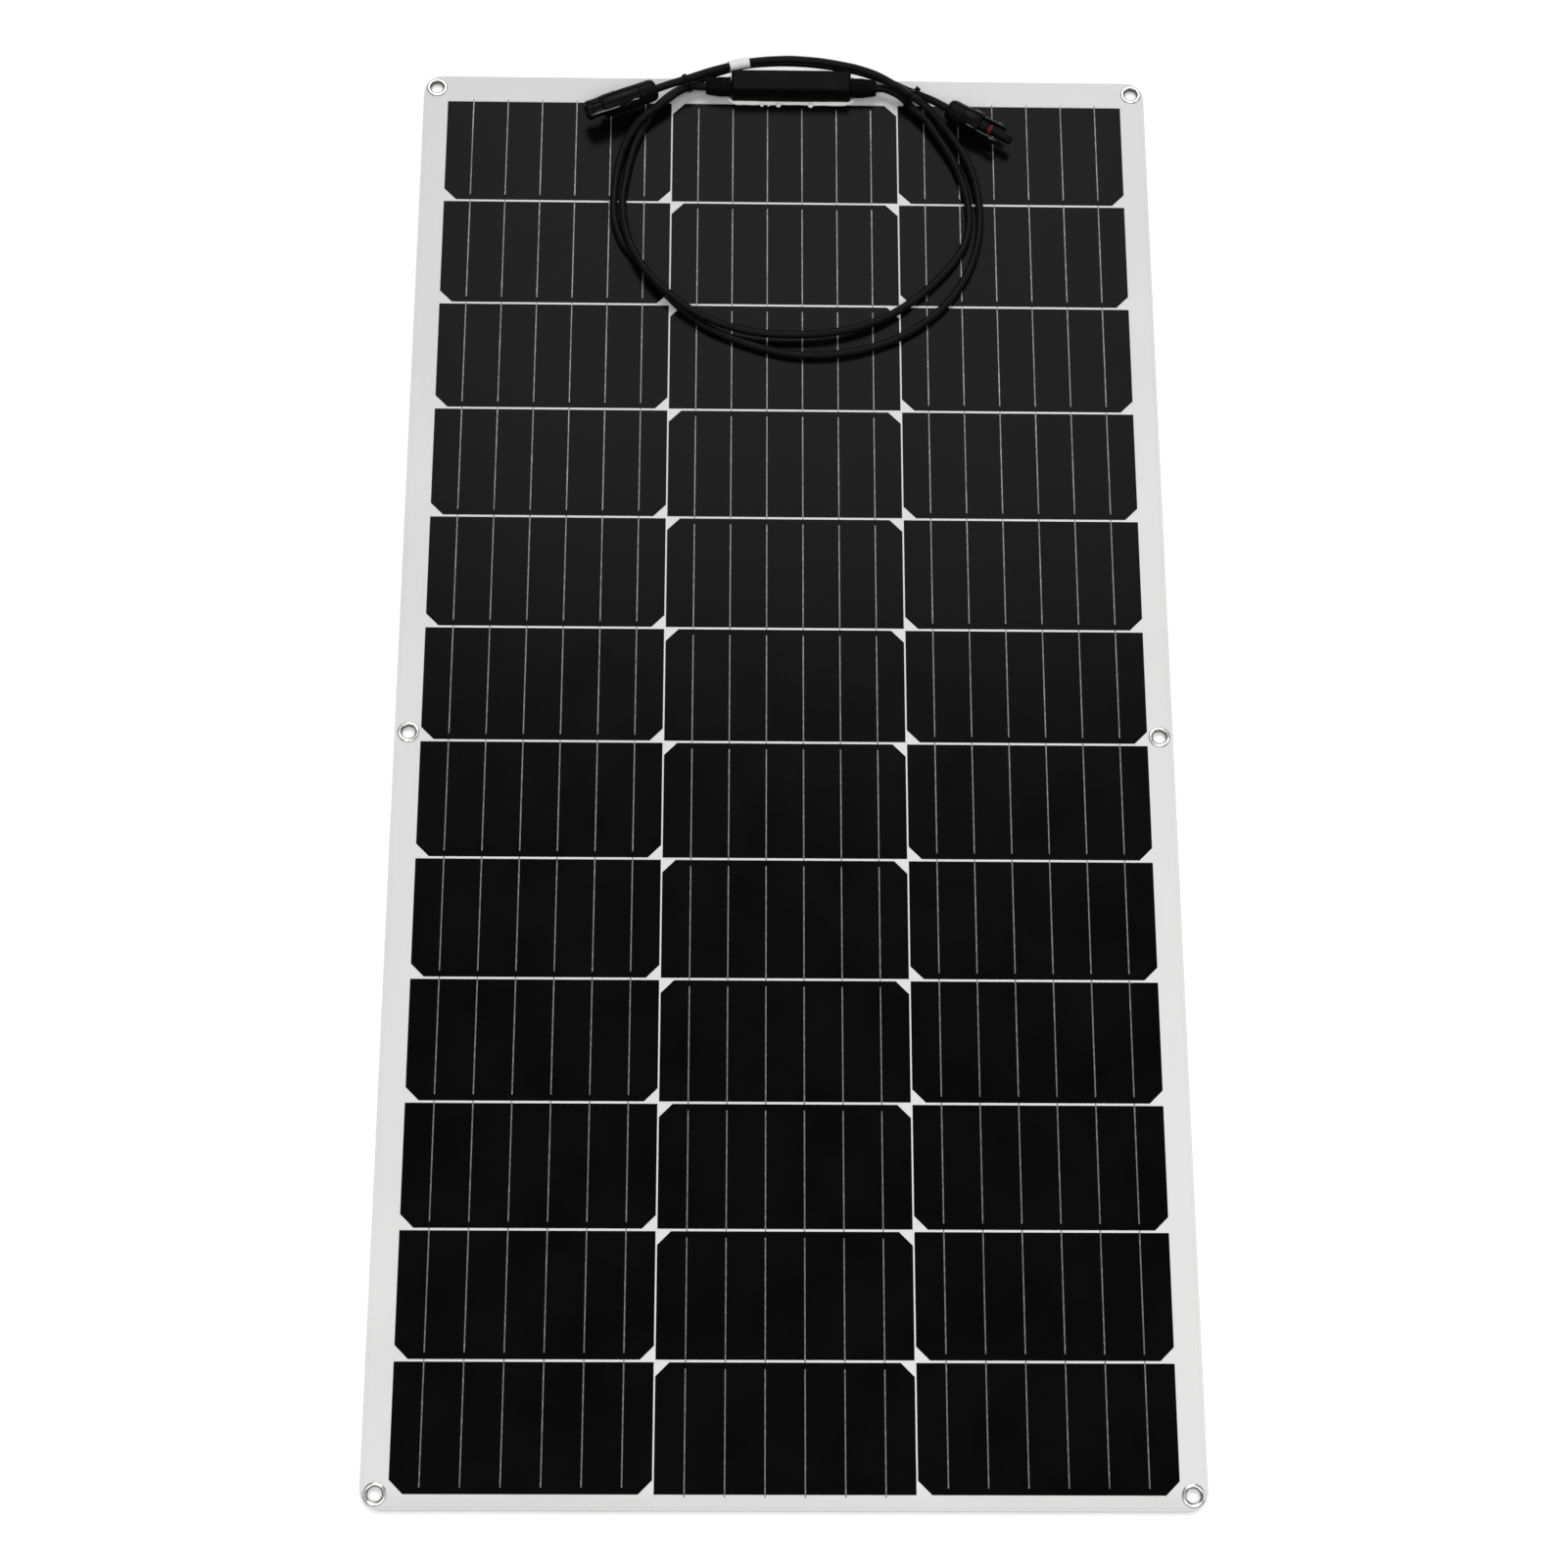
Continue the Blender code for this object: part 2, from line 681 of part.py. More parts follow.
def gland(side):
    """A strain relief: a spigot through the box wall, a collar, and a taper down to the cable."""
    profile = (
        (gland_tip_radius, gland_length), (gland_radius, gland_collar), (gland_radius, seat_gap),
        (gland_spigot_radius, seat_gap), (gland_spigot_radius, -box_wall - gland_spigot_reach),
        (gland_bore, -box_wall - gland_spigot_reach), (gland_bore, gland_length),
    )
    made = turned_piece(f"cable_gland_{side}", profile, box_black, 16)
    made.location = (box_left if side == "left" else box_right, gland_middle, gland_level)
    made.rotation_euler = (0.0, math.radians(-90 if side == "left" else 90), 0.0)
    return made


# Connector frames: local Z runs from the nut's rear to the mating end, local Y is up
def connector_frame(name, tail, heading, lift):
    along = Vector((math.cos(heading), math.sin(heading), 0.0))
    up = Vector((0.0, 0.0, 1.0))
    side = up.cross(along)
    frame = empty(name)
    turn = Matrix((side, up, along)).transposed().to_4x4()
    frame.matrix_world = Matrix.Translation((*tail, film_top + lift)) @ turn
    return frame


def place_on(frame, *pieces):
    for piece in pieces:
        piece.parent = frame


def gland_nut(name):
    """A fluted nut with a bore for the cable."""
    steps = nut_flutes * 4
    rim = []
    for i in range(steps):
        angle = 2 * math.pi * i / steps
        radius = nut_radius - nut_flute + nut_flute * math.cos(nut_flutes * angle)
        rim.append((radius * math.cos(angle), radius * math.sin(angle)))
    return outline_piece(name, [rim, circle(0.0, 0.0, cable_radius + bore_clearance)], 0.0, nut_length,
                         connector_black)


def contact(name, end):
    """A round contact that starts at the cable's end."""
    start = cable_in_nut + seat_gap
    profile = ((0.0, end), (contact_radius, end), (contact_radius, start), (0.0, start))
    return turned_piece(name, profile, tinned_copper, 12)


def socket_connector(frame):
    body = nut_length + seat_gap
    bore = contact_radius + bore_clearance
    cavity = socket_length - socket_cavity_depth
    sleeve_end = socket_length - socket_collar
    profile = (
        (socket_collar_radius, socket_length), (socket_collar_radius, sleeve_end),
        (socket_sleeve_radius, sleeve_end), (socket_sleeve_radius, socket_sleeve_start),
        (socket_radius, socket_sleeve_start), (socket_radius, body), (bore, body), (bore, cavity),
        (socket_cavity_radius, cavity), (socket_cavity_radius, socket_length),
    )
    housing = turned_piece("socket_housing", profile, connector_black, 20)
    pieces = housing, gland_nut("socket_nut"), contact("socket_contact", socket_length - socket_contact_inset)
    place_on(frame, *pieces)


def latch_arm(side):
    """A springy arm with a barb at its tip, on the plug's left or right; its origin is its root."""
    half = arm_thickness / 2
    out = 1 if side == "left" else -1
    tip = arm_length - seat_gap
    profile = [(-out * half, 0.0), (out * half, 0.0), (out * half, tip - arm_barb_length),
               (out * (half + arm_barb), tip - arm_barb_length), (out * half, tip), (-out * half, tip)]
    arm = outline_piece(f"latch_arm_{side}", [profile], -arm_width / 2, arm_width / 2, connector_black)
    arm.rotation_euler = (math.radians(90), 0.0, 0.0)
    arm.location = (out * arm_offset, 0.0, plug_body_end + seat_gap)
    return arm


def sealing_ring():
    bpy.ops.mesh.primitive_torus_add(
        major_radius=plug_barrel_radius + ring_seat + ring_thickness / 2, minor_radius=ring_thickness / 2,
        major_segments=20, minor_segments=8, location=(0.0, 0.0, ring_place),
    )
    ring = bpy.context.active_object
    for collection in list(ring.users_collection):
        collection.objects.unlink(ring)
    ring.name = "plug_sealing_ring"
    ring.data.materials.append(seal_red)
    return link(ring)


def plug_connector(frame):
    body = nut_length + seat_gap
    bore = contact_radius + bore_clearance
    profile = (
        (plug_barrel_radius, plug_length), (plug_barrel_radius, plug_body_end), (plug_body_radius, plug_body_end),
        (plug_body_radius, body), (bore, body), (bore, plug_length),
    )
    housing = turned_piece("plug_housing", profile, connector_black, 20)
    pieces = housing, gland_nut("plug_nut"), contact("plug_contact", plug_length - plug_contact_inset)
    place_on(frame, *pieces, sealing_ring(), latch_arm("left"), latch_arm("right"))


# Cable routes
def smooth_points(points, spacing):
    """Even points along a smooth curve through the given ones, with its first and last stretch kept straight."""
    points = [Vector(p) for p in points]
    fine = []
    steps = 24
    for a, b, c, d in zip(points, points[1:], points[2:], points[3:]):
        for i in range(steps):
            t = i / steps
            fine.append(0.5 * (2 * b + (c - a) * t + (2 * a - 5 * b + 4 * c - d) * t ** 2
                               + (3 * b - a - 3 * c + d) * t ** 3))
    fine.append(points[-2])
    lengths = [0.0]
    for a, b in zip(fine, fine[1:]):
        lengths.append(lengths[-1] + (b - a).length)
    count = max(2, round(lengths[-1] / spacing))
    even, k = [], 0
    for i in range(count + 1):
        want = lengths[-1] * i / count
        while k < len(fine) - 2 and lengths[k + 1] < want:
            k += 1
        share = (want - lengths[k]) / (lengths[k + 1] - lengths[k])
        even.append(fine[k].lerp(fine[k + 1], min(1.0, share)))
    return [points[0], *even, points[-1]]


def cable_points(side, middle, frame):
    """A cable from its lead in the box, out through the gland, round its route and into a connector's nut."""
    out = -1 if side == "left" else 1
    wall = box_left if side == "left" else box_right
    along_gland = (-cable_lead_in, gland_length, gland_length + cable_diameter)
    start = [(wall + out * x, gland_middle, gland_level) for x in along_gland]
    bpy.context.view_layer.update()
    along_nut = (-2 * cable_diameter, -cable_radius, cable_in_nut)
    end = [frame.matrix_world @ Vector((0.0, 0.0, z)) for z in along_nut]
    between = [(x, y, film_top + height) for x, y, height in middle]
    return smooth_points([*start, *between, *end], cable_point_spacing)


def segment_gap(a, b, c, d):
    """Least distance between two straight stretches."""
    best = None
    for s in range(5):
        p = a.lerp(b, s / 4)
        along = d - c
        t = max(0.0, min(1.0, (p - c).dot(along) / along.length_squared))
        gap = (p - c.lerp(d, t)).length
        best = gap if best is None else min(best, gap)
    return best


def least_gap(one, two, skip=0):
    """Least clear space between two cables, or between stretches of one that are not neighbours."""
    best = None
    for i, (a, b) in enumerate(zip(one, one[1:])):
        for j, (c, d) in enumerate(zip(two, two[1:])):
            if skip and abs(i - j) < skip:
                continue
            gap = segment_gap(a, b, c, d)
            best = gap if best is None else min(best, gap)
    return best - cable_diameter


def stretch(points, start, end):
    """The part of a line between two distances along it."""
    taken, walked = [], 0.0
    for a, b in zip(points, points[1:]):
        step = (b - a).length
        if walked < end and walked + step > start:
            if not taken:
                taken.append(a.lerp(b, max(0.0, (start - walked) / step)))
            taken.append(a.lerp(b, min(1.0, (end - walked) / step)))
        walked += step
    return taken


def cable_tag(points):
    """A blank sleeve round the cable."""
    back = points[::-1]
    bore = as_mesh(tube_piece("tag_bore", stretch(back, tag_from_end - cable_radius,
                                                  tag_from_end + tag_length + cable_radius),
                              cable_radius + bore_clearance, tag_white))
    sleeve = as_mesh(tube_piece("cable_tag", stretch(back, tag_from_end, tag_from_end + tag_length),
                                cable_radius + bore_clearance + tag_wall, tag_white))
    combine(sleeve, bore, "DIFFERENCE")
    return sleeve


def rounded_hull(centres, radius):
    """Outline round a set of equal circles."""
    points = sorted(p for x, y in centres for p in circle(x, y, radius))

    def half(ordered):
        chain = []
        for p in ordered:
            while len(chain) > 1 and ((chain[-1][0] - chain[-2][0]) * (p[1] - chain[-2][1])
                                      - (chain[-1][1] - chain[-2][1]) * (p[0] - chain[-2][0])) <= 1e-12:
                chain.pop()
            chain.append(p)
        return chain[:-1]

    return half(points) + half(points[::-1])


def cable_tie(side, lines):
    """A band drawn round the strands that cross its plane, with its head on the far side."""
    (x, y), heading = tie_places[side]
    along = Vector((math.cos(heading), math.sin(heading), 0.0))
    across = Vector((-along.y, along.x, 0.0))
    if across.y < 0:
        across = -across
    middle = Vector((x, y, film_top + gland_radius))
    strands = []
    for line in lines:
        for a, b in zip(line, line[1:]):
            before, after = (a - middle).dot(along), (b - middle).dot(along)
            if before * after < 0:
                crossing = a.lerp(b, before / (before - after)) - middle
                if crossing.length < tie_reach:
                    strands.append((crossing.dot(across), crossing.z))
    inner = rounded_hull(strands, cable_radius + tie_clearance)
    outer = rounded_hull(strands, cable_radius + tie_clearance + tie_thickness)
    band = outline_piece(f"cable_tie_{side}", [outer, inner], -tie_width / 2, tie_width / 2, box_black)
    frame = Matrix((across, Vector((0.0, 0.0, 1.0)), across.cross(Vector((0.0, 0.0, 1.0))))).transposed()
    band.matrix_world = Matrix.Translation(middle) @ frame.to_4x4()
    band = as_mesh(band)
    far = max(outer)
    head = boxes_piece(f"tie_head_{side}", [
        ((far[0] - tie_thickness / 2, far[1] - tie_head / 2, -tie_head / 2),
         (far[0] + tie_head_lift, far[1] + tie_head / 2, tie_head / 2)),
        ((far[0] + tie_head_lift - tie_thickness, far[1] + tie_head / 4, -tie_width / 2),
         (far[0] + tie_head_lift - tie_thickness / 4, far[1] + tie_head / 2 + tie_tail, tie_width / 2)),
    ])
    head.matrix_world = band.matrix_world
    combine(band, head, "UNION")
    return band


# The sheet: strips that hang on one another at the flex lines
frames = {}
for strip, first, last, near, far in strip_spans():
    edge = far + flex_gap / 2 if frames else 0.0
    frames[strip] = empty(f"{strip}_strip", (0.0, edge, flex_level))
    laminate_strip(strip, first, last, near, far, frames[strip])
    for name, (x, y) in eyelet_places.get(strip, {}).items():
        join_to(frames[strip], eyelet(name, x, y))
order = list(frames.values())
for parent, child in zip(order, order[1:]):
    join_to(parent, child)

# The junction box and its glands
box_pieces = [*junction_box(), sealant(), bypass_diode()]
box_pieces += [make(side) for side in ("left", "right") for make in (lead_ribbon, gland)]
join_to(frames["far"], *box_pieces)

# The connectors, the cables and what holds them
socket_frame = connector_frame("socket_axis", socket_tail, socket_heading, socket_lift)
plug_frame = connector_frame("plug_axis", plug_tail, plug_heading, plug_lift)
socket_connector(socket_frame)
plug_connector(plug_frame)
first_cable = cable_points("left", first_route, socket_frame)
second_cable = cable_points("right", second_route, plug_frame)
cable_pieces = [
    tube_piece("cable_left", first_cable, cable_radius, cable_black),
    tube_piece("cable_right", second_cable, cable_radius, cable_black),
    cable_tag(first_cable),
    cable_tie("left", (first_cable, second_cable)),
    cable_tie("right", (first_cable, second_cable)),
]
join_to(frames["far"], *cable_pieces, socket_frame, plug_frame)

for label, cable in (("left", first_cable), ("right", second_cable)):
    length = sum((b - a).length for a, b in zip(cable, cable[1:]))
    clear = least_gap(cable, cable, skip=4) * 1000
    print(f"cable_{label}: {length:.3f} m in {len(cable)} points, least gap to itself {clear:.2f} mm")
print(f"least gap between the cables {least_gap(first_cable, second_cable) * 1000:.2f} mm")

for piece in parts.objects:
    if piece.type == "MESH":
        piece.data.shade_smooth()
        piece.data.set_sharp_from_angle(angle=math.radians(35))
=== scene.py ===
"""Looks of a flexible solar sheet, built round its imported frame.

Metres. +X is to the right, +Y runs to the junction box end and +Z is up, as in the frame.
"""

import json
import math

import bmesh
import bpy
from mathutils import Matrix, Vector, noise

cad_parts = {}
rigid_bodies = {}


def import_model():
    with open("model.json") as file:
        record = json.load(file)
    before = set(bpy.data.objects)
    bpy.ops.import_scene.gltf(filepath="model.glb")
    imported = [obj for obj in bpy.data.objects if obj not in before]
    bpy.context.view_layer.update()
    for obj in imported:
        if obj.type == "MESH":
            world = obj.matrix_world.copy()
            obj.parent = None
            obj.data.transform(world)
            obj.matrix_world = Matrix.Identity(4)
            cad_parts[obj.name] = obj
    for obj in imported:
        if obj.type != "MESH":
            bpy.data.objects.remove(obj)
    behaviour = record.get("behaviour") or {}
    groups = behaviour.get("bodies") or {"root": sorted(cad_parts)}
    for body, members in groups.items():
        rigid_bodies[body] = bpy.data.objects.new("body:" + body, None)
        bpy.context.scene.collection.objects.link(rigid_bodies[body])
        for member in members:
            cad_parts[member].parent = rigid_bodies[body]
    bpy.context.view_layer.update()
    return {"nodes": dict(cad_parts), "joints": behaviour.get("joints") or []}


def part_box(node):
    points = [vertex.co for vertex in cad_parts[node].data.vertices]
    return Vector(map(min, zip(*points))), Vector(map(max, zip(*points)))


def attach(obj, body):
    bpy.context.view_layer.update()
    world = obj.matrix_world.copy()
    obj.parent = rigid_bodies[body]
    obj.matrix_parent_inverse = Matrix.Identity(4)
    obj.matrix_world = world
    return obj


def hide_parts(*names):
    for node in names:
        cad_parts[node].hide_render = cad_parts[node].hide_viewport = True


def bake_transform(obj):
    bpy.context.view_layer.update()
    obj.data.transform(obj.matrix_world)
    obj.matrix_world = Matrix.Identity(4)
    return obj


for leftover in list(bpy.data.objects):
    bpy.data.objects.remove(leftover)
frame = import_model()
scene = bpy.context.scene
UP = Vector((0.0, 0.0, 1.0))

# Camera, fitted to the corners, cells and eyelets of the photograph
camera_place = (-0.03790, -0.69022, 1.83507)
camera_turn = (19.702, -1.162, -0.013)
camera_lens = 69.157
sensor_width = 36.0

# Light: each soft box's azimuth and elevation in degrees, where 90 is from +Y, its distance, size and power
soft_boxes = {
    "key_box": (88, 53, 4.0, (2.0, 1.88), 87),
    "front_box": (-90, 63, 3.0, (3.0, 1.4), 48),
    "left_box": (180, 40, 3.0, (1.6, 1.6), 8),
    "right_box": (0, 40, 3.0, (1.6, 1.6), 14),
}
surround_strength = 0.30
floor_half = 6.0

# Finishes: the part of a noise that its values spread over, the pitch of the cells' grid lines, and the scale
# at which a wave texture has one line in a metre
noise_low = 0.3
noise_high = 0.7
finger_pitch = 0.0013
wave_unit = 0.314

# Shapes: the angle in degrees past which an edge stays crisp, and the space left under a piece that rests
crisp_angle = 32.0
seat_gap = 0.00005

# Cells and ribbons
column_names = ("left", "middle", "right")
row_count = 12
rows_per_segment = 2
row_gap = 0.0015
column_gap = 0.001
cell_chamfer = 0.0084
cell_rise = 0.00010
cell_ease = 0.00004
ribbon_count = 6
ribbon_pitch = 0.0241
ribbon_width = 0.00078
ribbon_setback = 0.004
ribbon_overrun = 0.0016
ribbon_ease = 0.00002

# Laminate
strip_names = ("far", "far_mid", "middle", "near_mid", "near")
segment_names = ("far_end", "far_bend", "far_mid_bend", "near_mid_bend", "near_bend", "near_end")
last_segment = len(segment_names) - 1
corner_radius = 0.013
slice_length = 0.008
sheet_sink = 0.00012
edge_lip = 0.0019
lip_step = 0.00014
edge_ease = 0.00025

# Eyelets
eyelet_steps = 56
eyelet_hole = 0.0045
eyelet_barrel = 0.0050
eyelet_flange = 0.0070
eyelet_rise = 0.0006
hole_clearance = 0.0001
hole_steps = 48
hole_reach = (-0.001, 0.01)

# Junction box and its sealant
box_corner = 0.0024
box_foot = 0.0004
box_wall = 0.0015
lid_round = 0.0020
seam_depth = 0.00025
seam_half = 0.00018
bed_inset = 0.0003
bed_setback = 0.002
bead_width = 0.0024
bead_height = 0.0012
bead_ripple = 0.0004
bead_waves = 160, 420
bead_tuck = 0.0006
bead_end = 0.0004
bead_steps = 90
bead_close = 4
bead_round = 8
corner_smear = (0.0034, 0.0011, 0.0010)
corner_slant = math.radians(40.0)
bead_drops = ((-0.0161, 0.0013), (-0.0113, 0.0010), (-0.0044, 0.0017), (0.0182, 0.0018))

# Cables
cable_diameter = 0.0054
cable_radius = cable_diameter / 2
cable_spacing = 0.0025
cable_lead_in = 0.007
cable_in_nut = 0.008
tag_from_end = 0.063
tag_length = 0.0145
tag_gap = 0.00015
tag_wall = 0.0006
tag_overlap = 0.6

# Cable ties: a point on each one's plane, and two turns in degrees: the way the strands run through it, and
# where its head sits round the strands
tie_places = {"left": ((-0.0690, 0.4830), 216.0, 270.0), "right": ((0.0900, 0.4770), -37.0, 20.0)}
tie_reach = 0.014
tie_clearance = 0.0003
tie_thickness = 0.0008
tie_half_width = 0.0013
tie_ease = 0.0002
tie_head_half = 0.0016
tie_head_lift = 0.0008
tie_tail = 0.0022
tie_tail_taper = 0.9
tie_tail_rise = 1.7
tie_steps = 96
round_steps = 40

# Connectors: lengths run from the rear of the gland nut
nut_flutes = 16
flute_steps = 8
nut_flute_depth = 0.00014
body_start = 0.0133
plug_body_end = 0.0262
arm_length = 0.0167
arm_inner = 0.0056
arm_outer = 0.0070
arm_half_width = 0.00275
arm_corner = 0.0004
arm_gap = 0.0003
seal_place = 0.0340
seal_half = 0.0014
seal_inner = 0.0031
seal_ridge = 0.0037
seal_groove = 0.0035
seal_round = 0.0001
seal_steps = 48
rail_height = 0.0010
strip_width = 0.0009
web_inner = 0.0030
web_drop = 0.0007
rail_ease = 0.0002
gland_facets = 10
facet_steps = 6
gland_facet_depth = 0.0003

# Middle points of the cables' routes: x, y and the height of the cable's middle over the sheet
resting = cable_radius + 0.0003
left_route = (
    (-0.0660, 0.4814, 0.0090), (-0.0750, 0.4760, 0.0101), (-0.0842, 0.4685, 0.0094),
    (-0.0930, 0.4614, 0.0091), (-0.1012, 0.4534, 0.0084), (-0.1080, 0.4437, 0.0067),
    (-0.1130, 0.4310, 0.0052), (-0.1165, 0.4160, 0.0038), (-0.1183, 0.4000, resting),
    (-0.1179, 0.3800, resting), (-0.1122, 0.3610, resting), (-0.1010, 0.3460, resting),
    (-0.0880, 0.3290, resting), (-0.0700, 0.3085, resting), (-0.0520, 0.2945, resting),
    (-0.0300, 0.2845, resting), (-0.0080, 0.2775, resting), (0.0120, 0.2745, resting),
    (0.0360, 0.2755, resting), (0.0610, 0.2815, resting), (0.0840, 0.2920, resting),
    (0.1050, 0.3085, resting), (0.1210, 0.3295, resting), (0.1310, 0.3530, resting),
    (0.1350, 0.3770, 0.0032), (0.1338, 0.4000, 0.0042), (0.1283, 0.4230, 0.0054),
    (0.1184, 0.4420, 0.0058), (0.1062, 0.4588, 0.0080), (0.0985, 0.4663, 0.0106),
    (0.0910, 0.4717, 0.0123), (0.0840, 0.4762, 0.0127), (0.0751, 0.4825, 0.0132),
    (0.0648, 0.4886, 0.0136), (0.0539, 0.4938, 0.0125), (0.0444, 0.4972, 0.0114),
    (0.0265, 0.5008, 0.0112), (0.0093, 0.5024, 0.0112), (-0.0010, 0.5025, 0.0112),
    (-0.0148, 0.5014, 0.0113), (-0.0286, 0.4991, 0.0116), (-0.0450, 0.4939, 0.0124),
    (-0.0546, 0.4902, 0.0132), (-0.0655, 0.4852, 0.0142),
)
right_route = (
    (0.0788, 0.4783, 0.0067), (0.0848, 0.4732, 0.0060), (0.0904, 0.4662, 0.0058),
    (0.0995, 0.4563, 0.0064), (0.1081, 0.4426, 0.0054), (0.1167, 0.4275, 0.0046),
    (0.1230, 0.4110, 0.0037), (0.1268, 0.3940, 0.0031), (0.1276, 0.3770, resting),
    (0.1240, 0.3610, resting), (0.1155, 0.3460, resting), (0.1035, 0.3315, resting),
    (0.0880, 0.3168, 0.0034), (0.0690, 0.3031, 0.0048), (0.0480, 0.2940, 0.0060),
    (0.0260, 0.2893, 0.0067), (0.0040, 0.2880, 0.0070), (-0.0180, 0.2891, 0.0073),
    (-0.0400, 0.2942, 0.0078), (-0.0610, 0.3035, 0.0085), (-0.0800, 0.3182, 0.0091),
    (-0.0955, 0.3357, 0.0091), (-0.1058, 0.3550, 0.0086), (-0.1110, 0.3745, 0.0066),
    (-0.1123, 0.3940, 0.0040), (-0.1098, 0.4140, resting), (-0.1066, 0.4300, resting),
    (-0.1022, 0.4437, resting), (-0.0966, 0.4552, resting), (-0.0911, 0.4662, 0.0031),
    (-0.0842, 0.4741, 0.0034), (-0.0760, 0.4805, 0.0041), (-0.0680, 0.4854, 0.0047),
    (-0.0600, 0.4892, 0.0050), (-0.0547, 0.4915, 0.0052), (-0.0450, 0.4960, 0.0054),
    (-0.0285, 0.5012, 0.0054), (-0.0147, 0.5031, 0.0054), (-0.0009, 0.5038, 0.0054),
    (0.0129, 0.5034, 0.0054), (0.0267, 0.5020, 0.0054), (0.0446, 0.4989, 0.0054),
    (0.0542, 0.4964, 0.0053), (0.0652, 0.4926, 0.0049), (0.0756, 0.4880, 0.0048),
    (0.0851, 0.4822, 0.0060), (0.0952, 0.4762, 0.0085),
)

# Facts taken from the frame
joints = {joint["name"]: joint for joint in frame["joints"]}
sheet_low, sheet_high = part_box("backsheet_far")
sheet_bottom, sheet_far, sheet_half = sheet_low.z, sheet_high.y, sheet_high.x
sheet_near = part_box("backsheet_near")[0].y
film_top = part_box("front_film_far")[1].z
string_low, string_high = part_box("cell_string_left_far")
cells_far = string_high.y
cells_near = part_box("cell_string_middle_near")[0].y
row_pitch = (cells_far - cells_near + row_gap) / row_count
cell_height = row_pitch - row_gap
cell_half = (string_high.x - string_low.x) / 2
column_pitch = 2 * cell_half + column_gap
sheet_top = film_top - sheet_sink
cell_top = sheet_top + cell_rise
ribbon_top = film_top
base_low, base_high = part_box("junction_box_base")
lid_low, lid_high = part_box("junction_box_lid")
gland_low, gland_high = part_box("cable_gland_left")
gland_length = base_low.x - gland_low.x
gland_level = (gland_low.z + gland_high.z) / 2
gland_middle = (gland_low.y + gland_high.y) / 2


def heading(degrees):
    """The direction of an angle in a plane."""
    return Vector((math.cos(math.radians(degrees)), math.sin(math.radians(degrees))))


# Camera
lens = bpy.data.cameras.new("photo_camera")
lens.lens = camera_lens
lens.sensor_width = sensor_width
camera = bpy.data.objects.new("photo_camera", lens)
camera.location = camera_place
camera.rotation_euler = [math.radians(a) for a in camera_turn]
scene.collection.objects.link(camera)
scene.camera = camera
scene.view_settings.view_transform = "Standard"


# Light: a soft box behind and above, one in front, a weak one at each side, and a pale surround
def area_light(name, azimuth, elevation, distance, size, power):
    """A soft box that looks at the middle of the sheet."""
    lamp = bpy.data.lights.new(name, "AREA")
    lamp.shape = "RECTANGLE"
    lamp.size, lamp.size_y = size
    lamp.energy = power
    level, rise = heading(elevation)
    away = Vector((*(level * heading(azimuth)), rise))
    holder = bpy.data.objects.new(name, lamp)
    holder.location = away * distance
    holder.rotation_euler = away.to_track_quat("Z", "Y").to_euler()
    scene.collection.objects.link(holder)


for name, settings in soft_boxes.items():
    area_light(name, *settings)
surround = bpy.data.worlds.new("surround")
surround.use_nodes = True
backdrop = surround.node_tree.nodes["Background"]
backdrop.inputs["Color"].default_value = (1.0, 1.0, 1.0, 1.0)
backdrop.inputs["Strength"].default_value = surround_strength
scene.world = surround


# Finishes
SOCKETS = {"metallic": "Metallic", "specular": "Specular IOR Level", "subsurface": "Subsurface Weight"}


def new_finish(name, colour, roughness, **sockets):
    """A Principled finish; values that are the same all over go straight on its sockets."""
    made = bpy.data.materials.new(name)
    made.use_nodes = True
    shader = made.node_tree.nodes["Principled BSDF"]
    shader.inputs["Base Color"].default_value = (*colour, 1.0)
    shader.inputs["Roughness"].default_value = roughness
    for socket, value in sockets.items():
        shader.inputs[SOCKETS[socket]].default_value = value
    return made


def node(made, kind, inputs, **settings):
    """Adds a node; each input takes a plain value or another node's output."""
    tree = made.node_tree
    added = tree.nodes.new(kind)
    for name, value in settings.items():
        setattr(added, name, value)
    for name, value in inputs.items():
        if isinstance(value, bpy.types.NodeSocket):
            tree.links.new(value, added.inputs[name])
        else:
            added.inputs[name].default_value = value
    return added


def reckon(made, operation, *values):
    """The outcome of one Math node."""
    return node(made, "ShaderNodeMath", dict(enumerate(values)), operation=operation).outputs[0]


def surface_place(made, stretch=(1.0, 1.0, 1.0), rest=False):
    """Metres on the piece: its own axes, or its place at rest on a sheet that bends."""
    if rest:
        where = node(made, "ShaderNodeUVMap", {}, uv_map="rest").outputs["UV"]
    else:
        where = node(made, "ShaderNodeTexCoord", {}).outputs["Object"]
    return node(made, "ShaderNodeMapping", {"Vector": where, "Scale": stretch}).outputs["Vector"]


def grain(made, place, size, detail=2.0):
    """Noise with grains of about the given size."""
    return node(made, "ShaderNodeTexNoise", {"Vector": place, "Scale": 1 / size, "Detail": detail}).outputs[0]


def spread(made, value, low, high, start=noise_low, end=noise_high):
    """Maps a value, by default the middle of a noise, onto a range."""
    return node(made, "ShaderNodeMapRange", {
        "Value": value, "From Min": start, "From Max": end, "To Min": low, "To Max": high,
    }).outputs[0]


def tint(made, value, *stops):
    """A colour that follows a noise through evenly spaced stops."""
    ramp = node(made, "ShaderNodeValToRGB", {"Fac": value})
    points = ramp.color_ramp.elements
    while len(points) < len(stops):
        points.new(0.5)
    for i, colour in enumerate(stops):
        points[i].position = noise_low + (noise_high - noise_low) * i / (len(stops) - 1)
        points[i].color = (*colour, 1.0)
    return ramp.outputs["Color"]


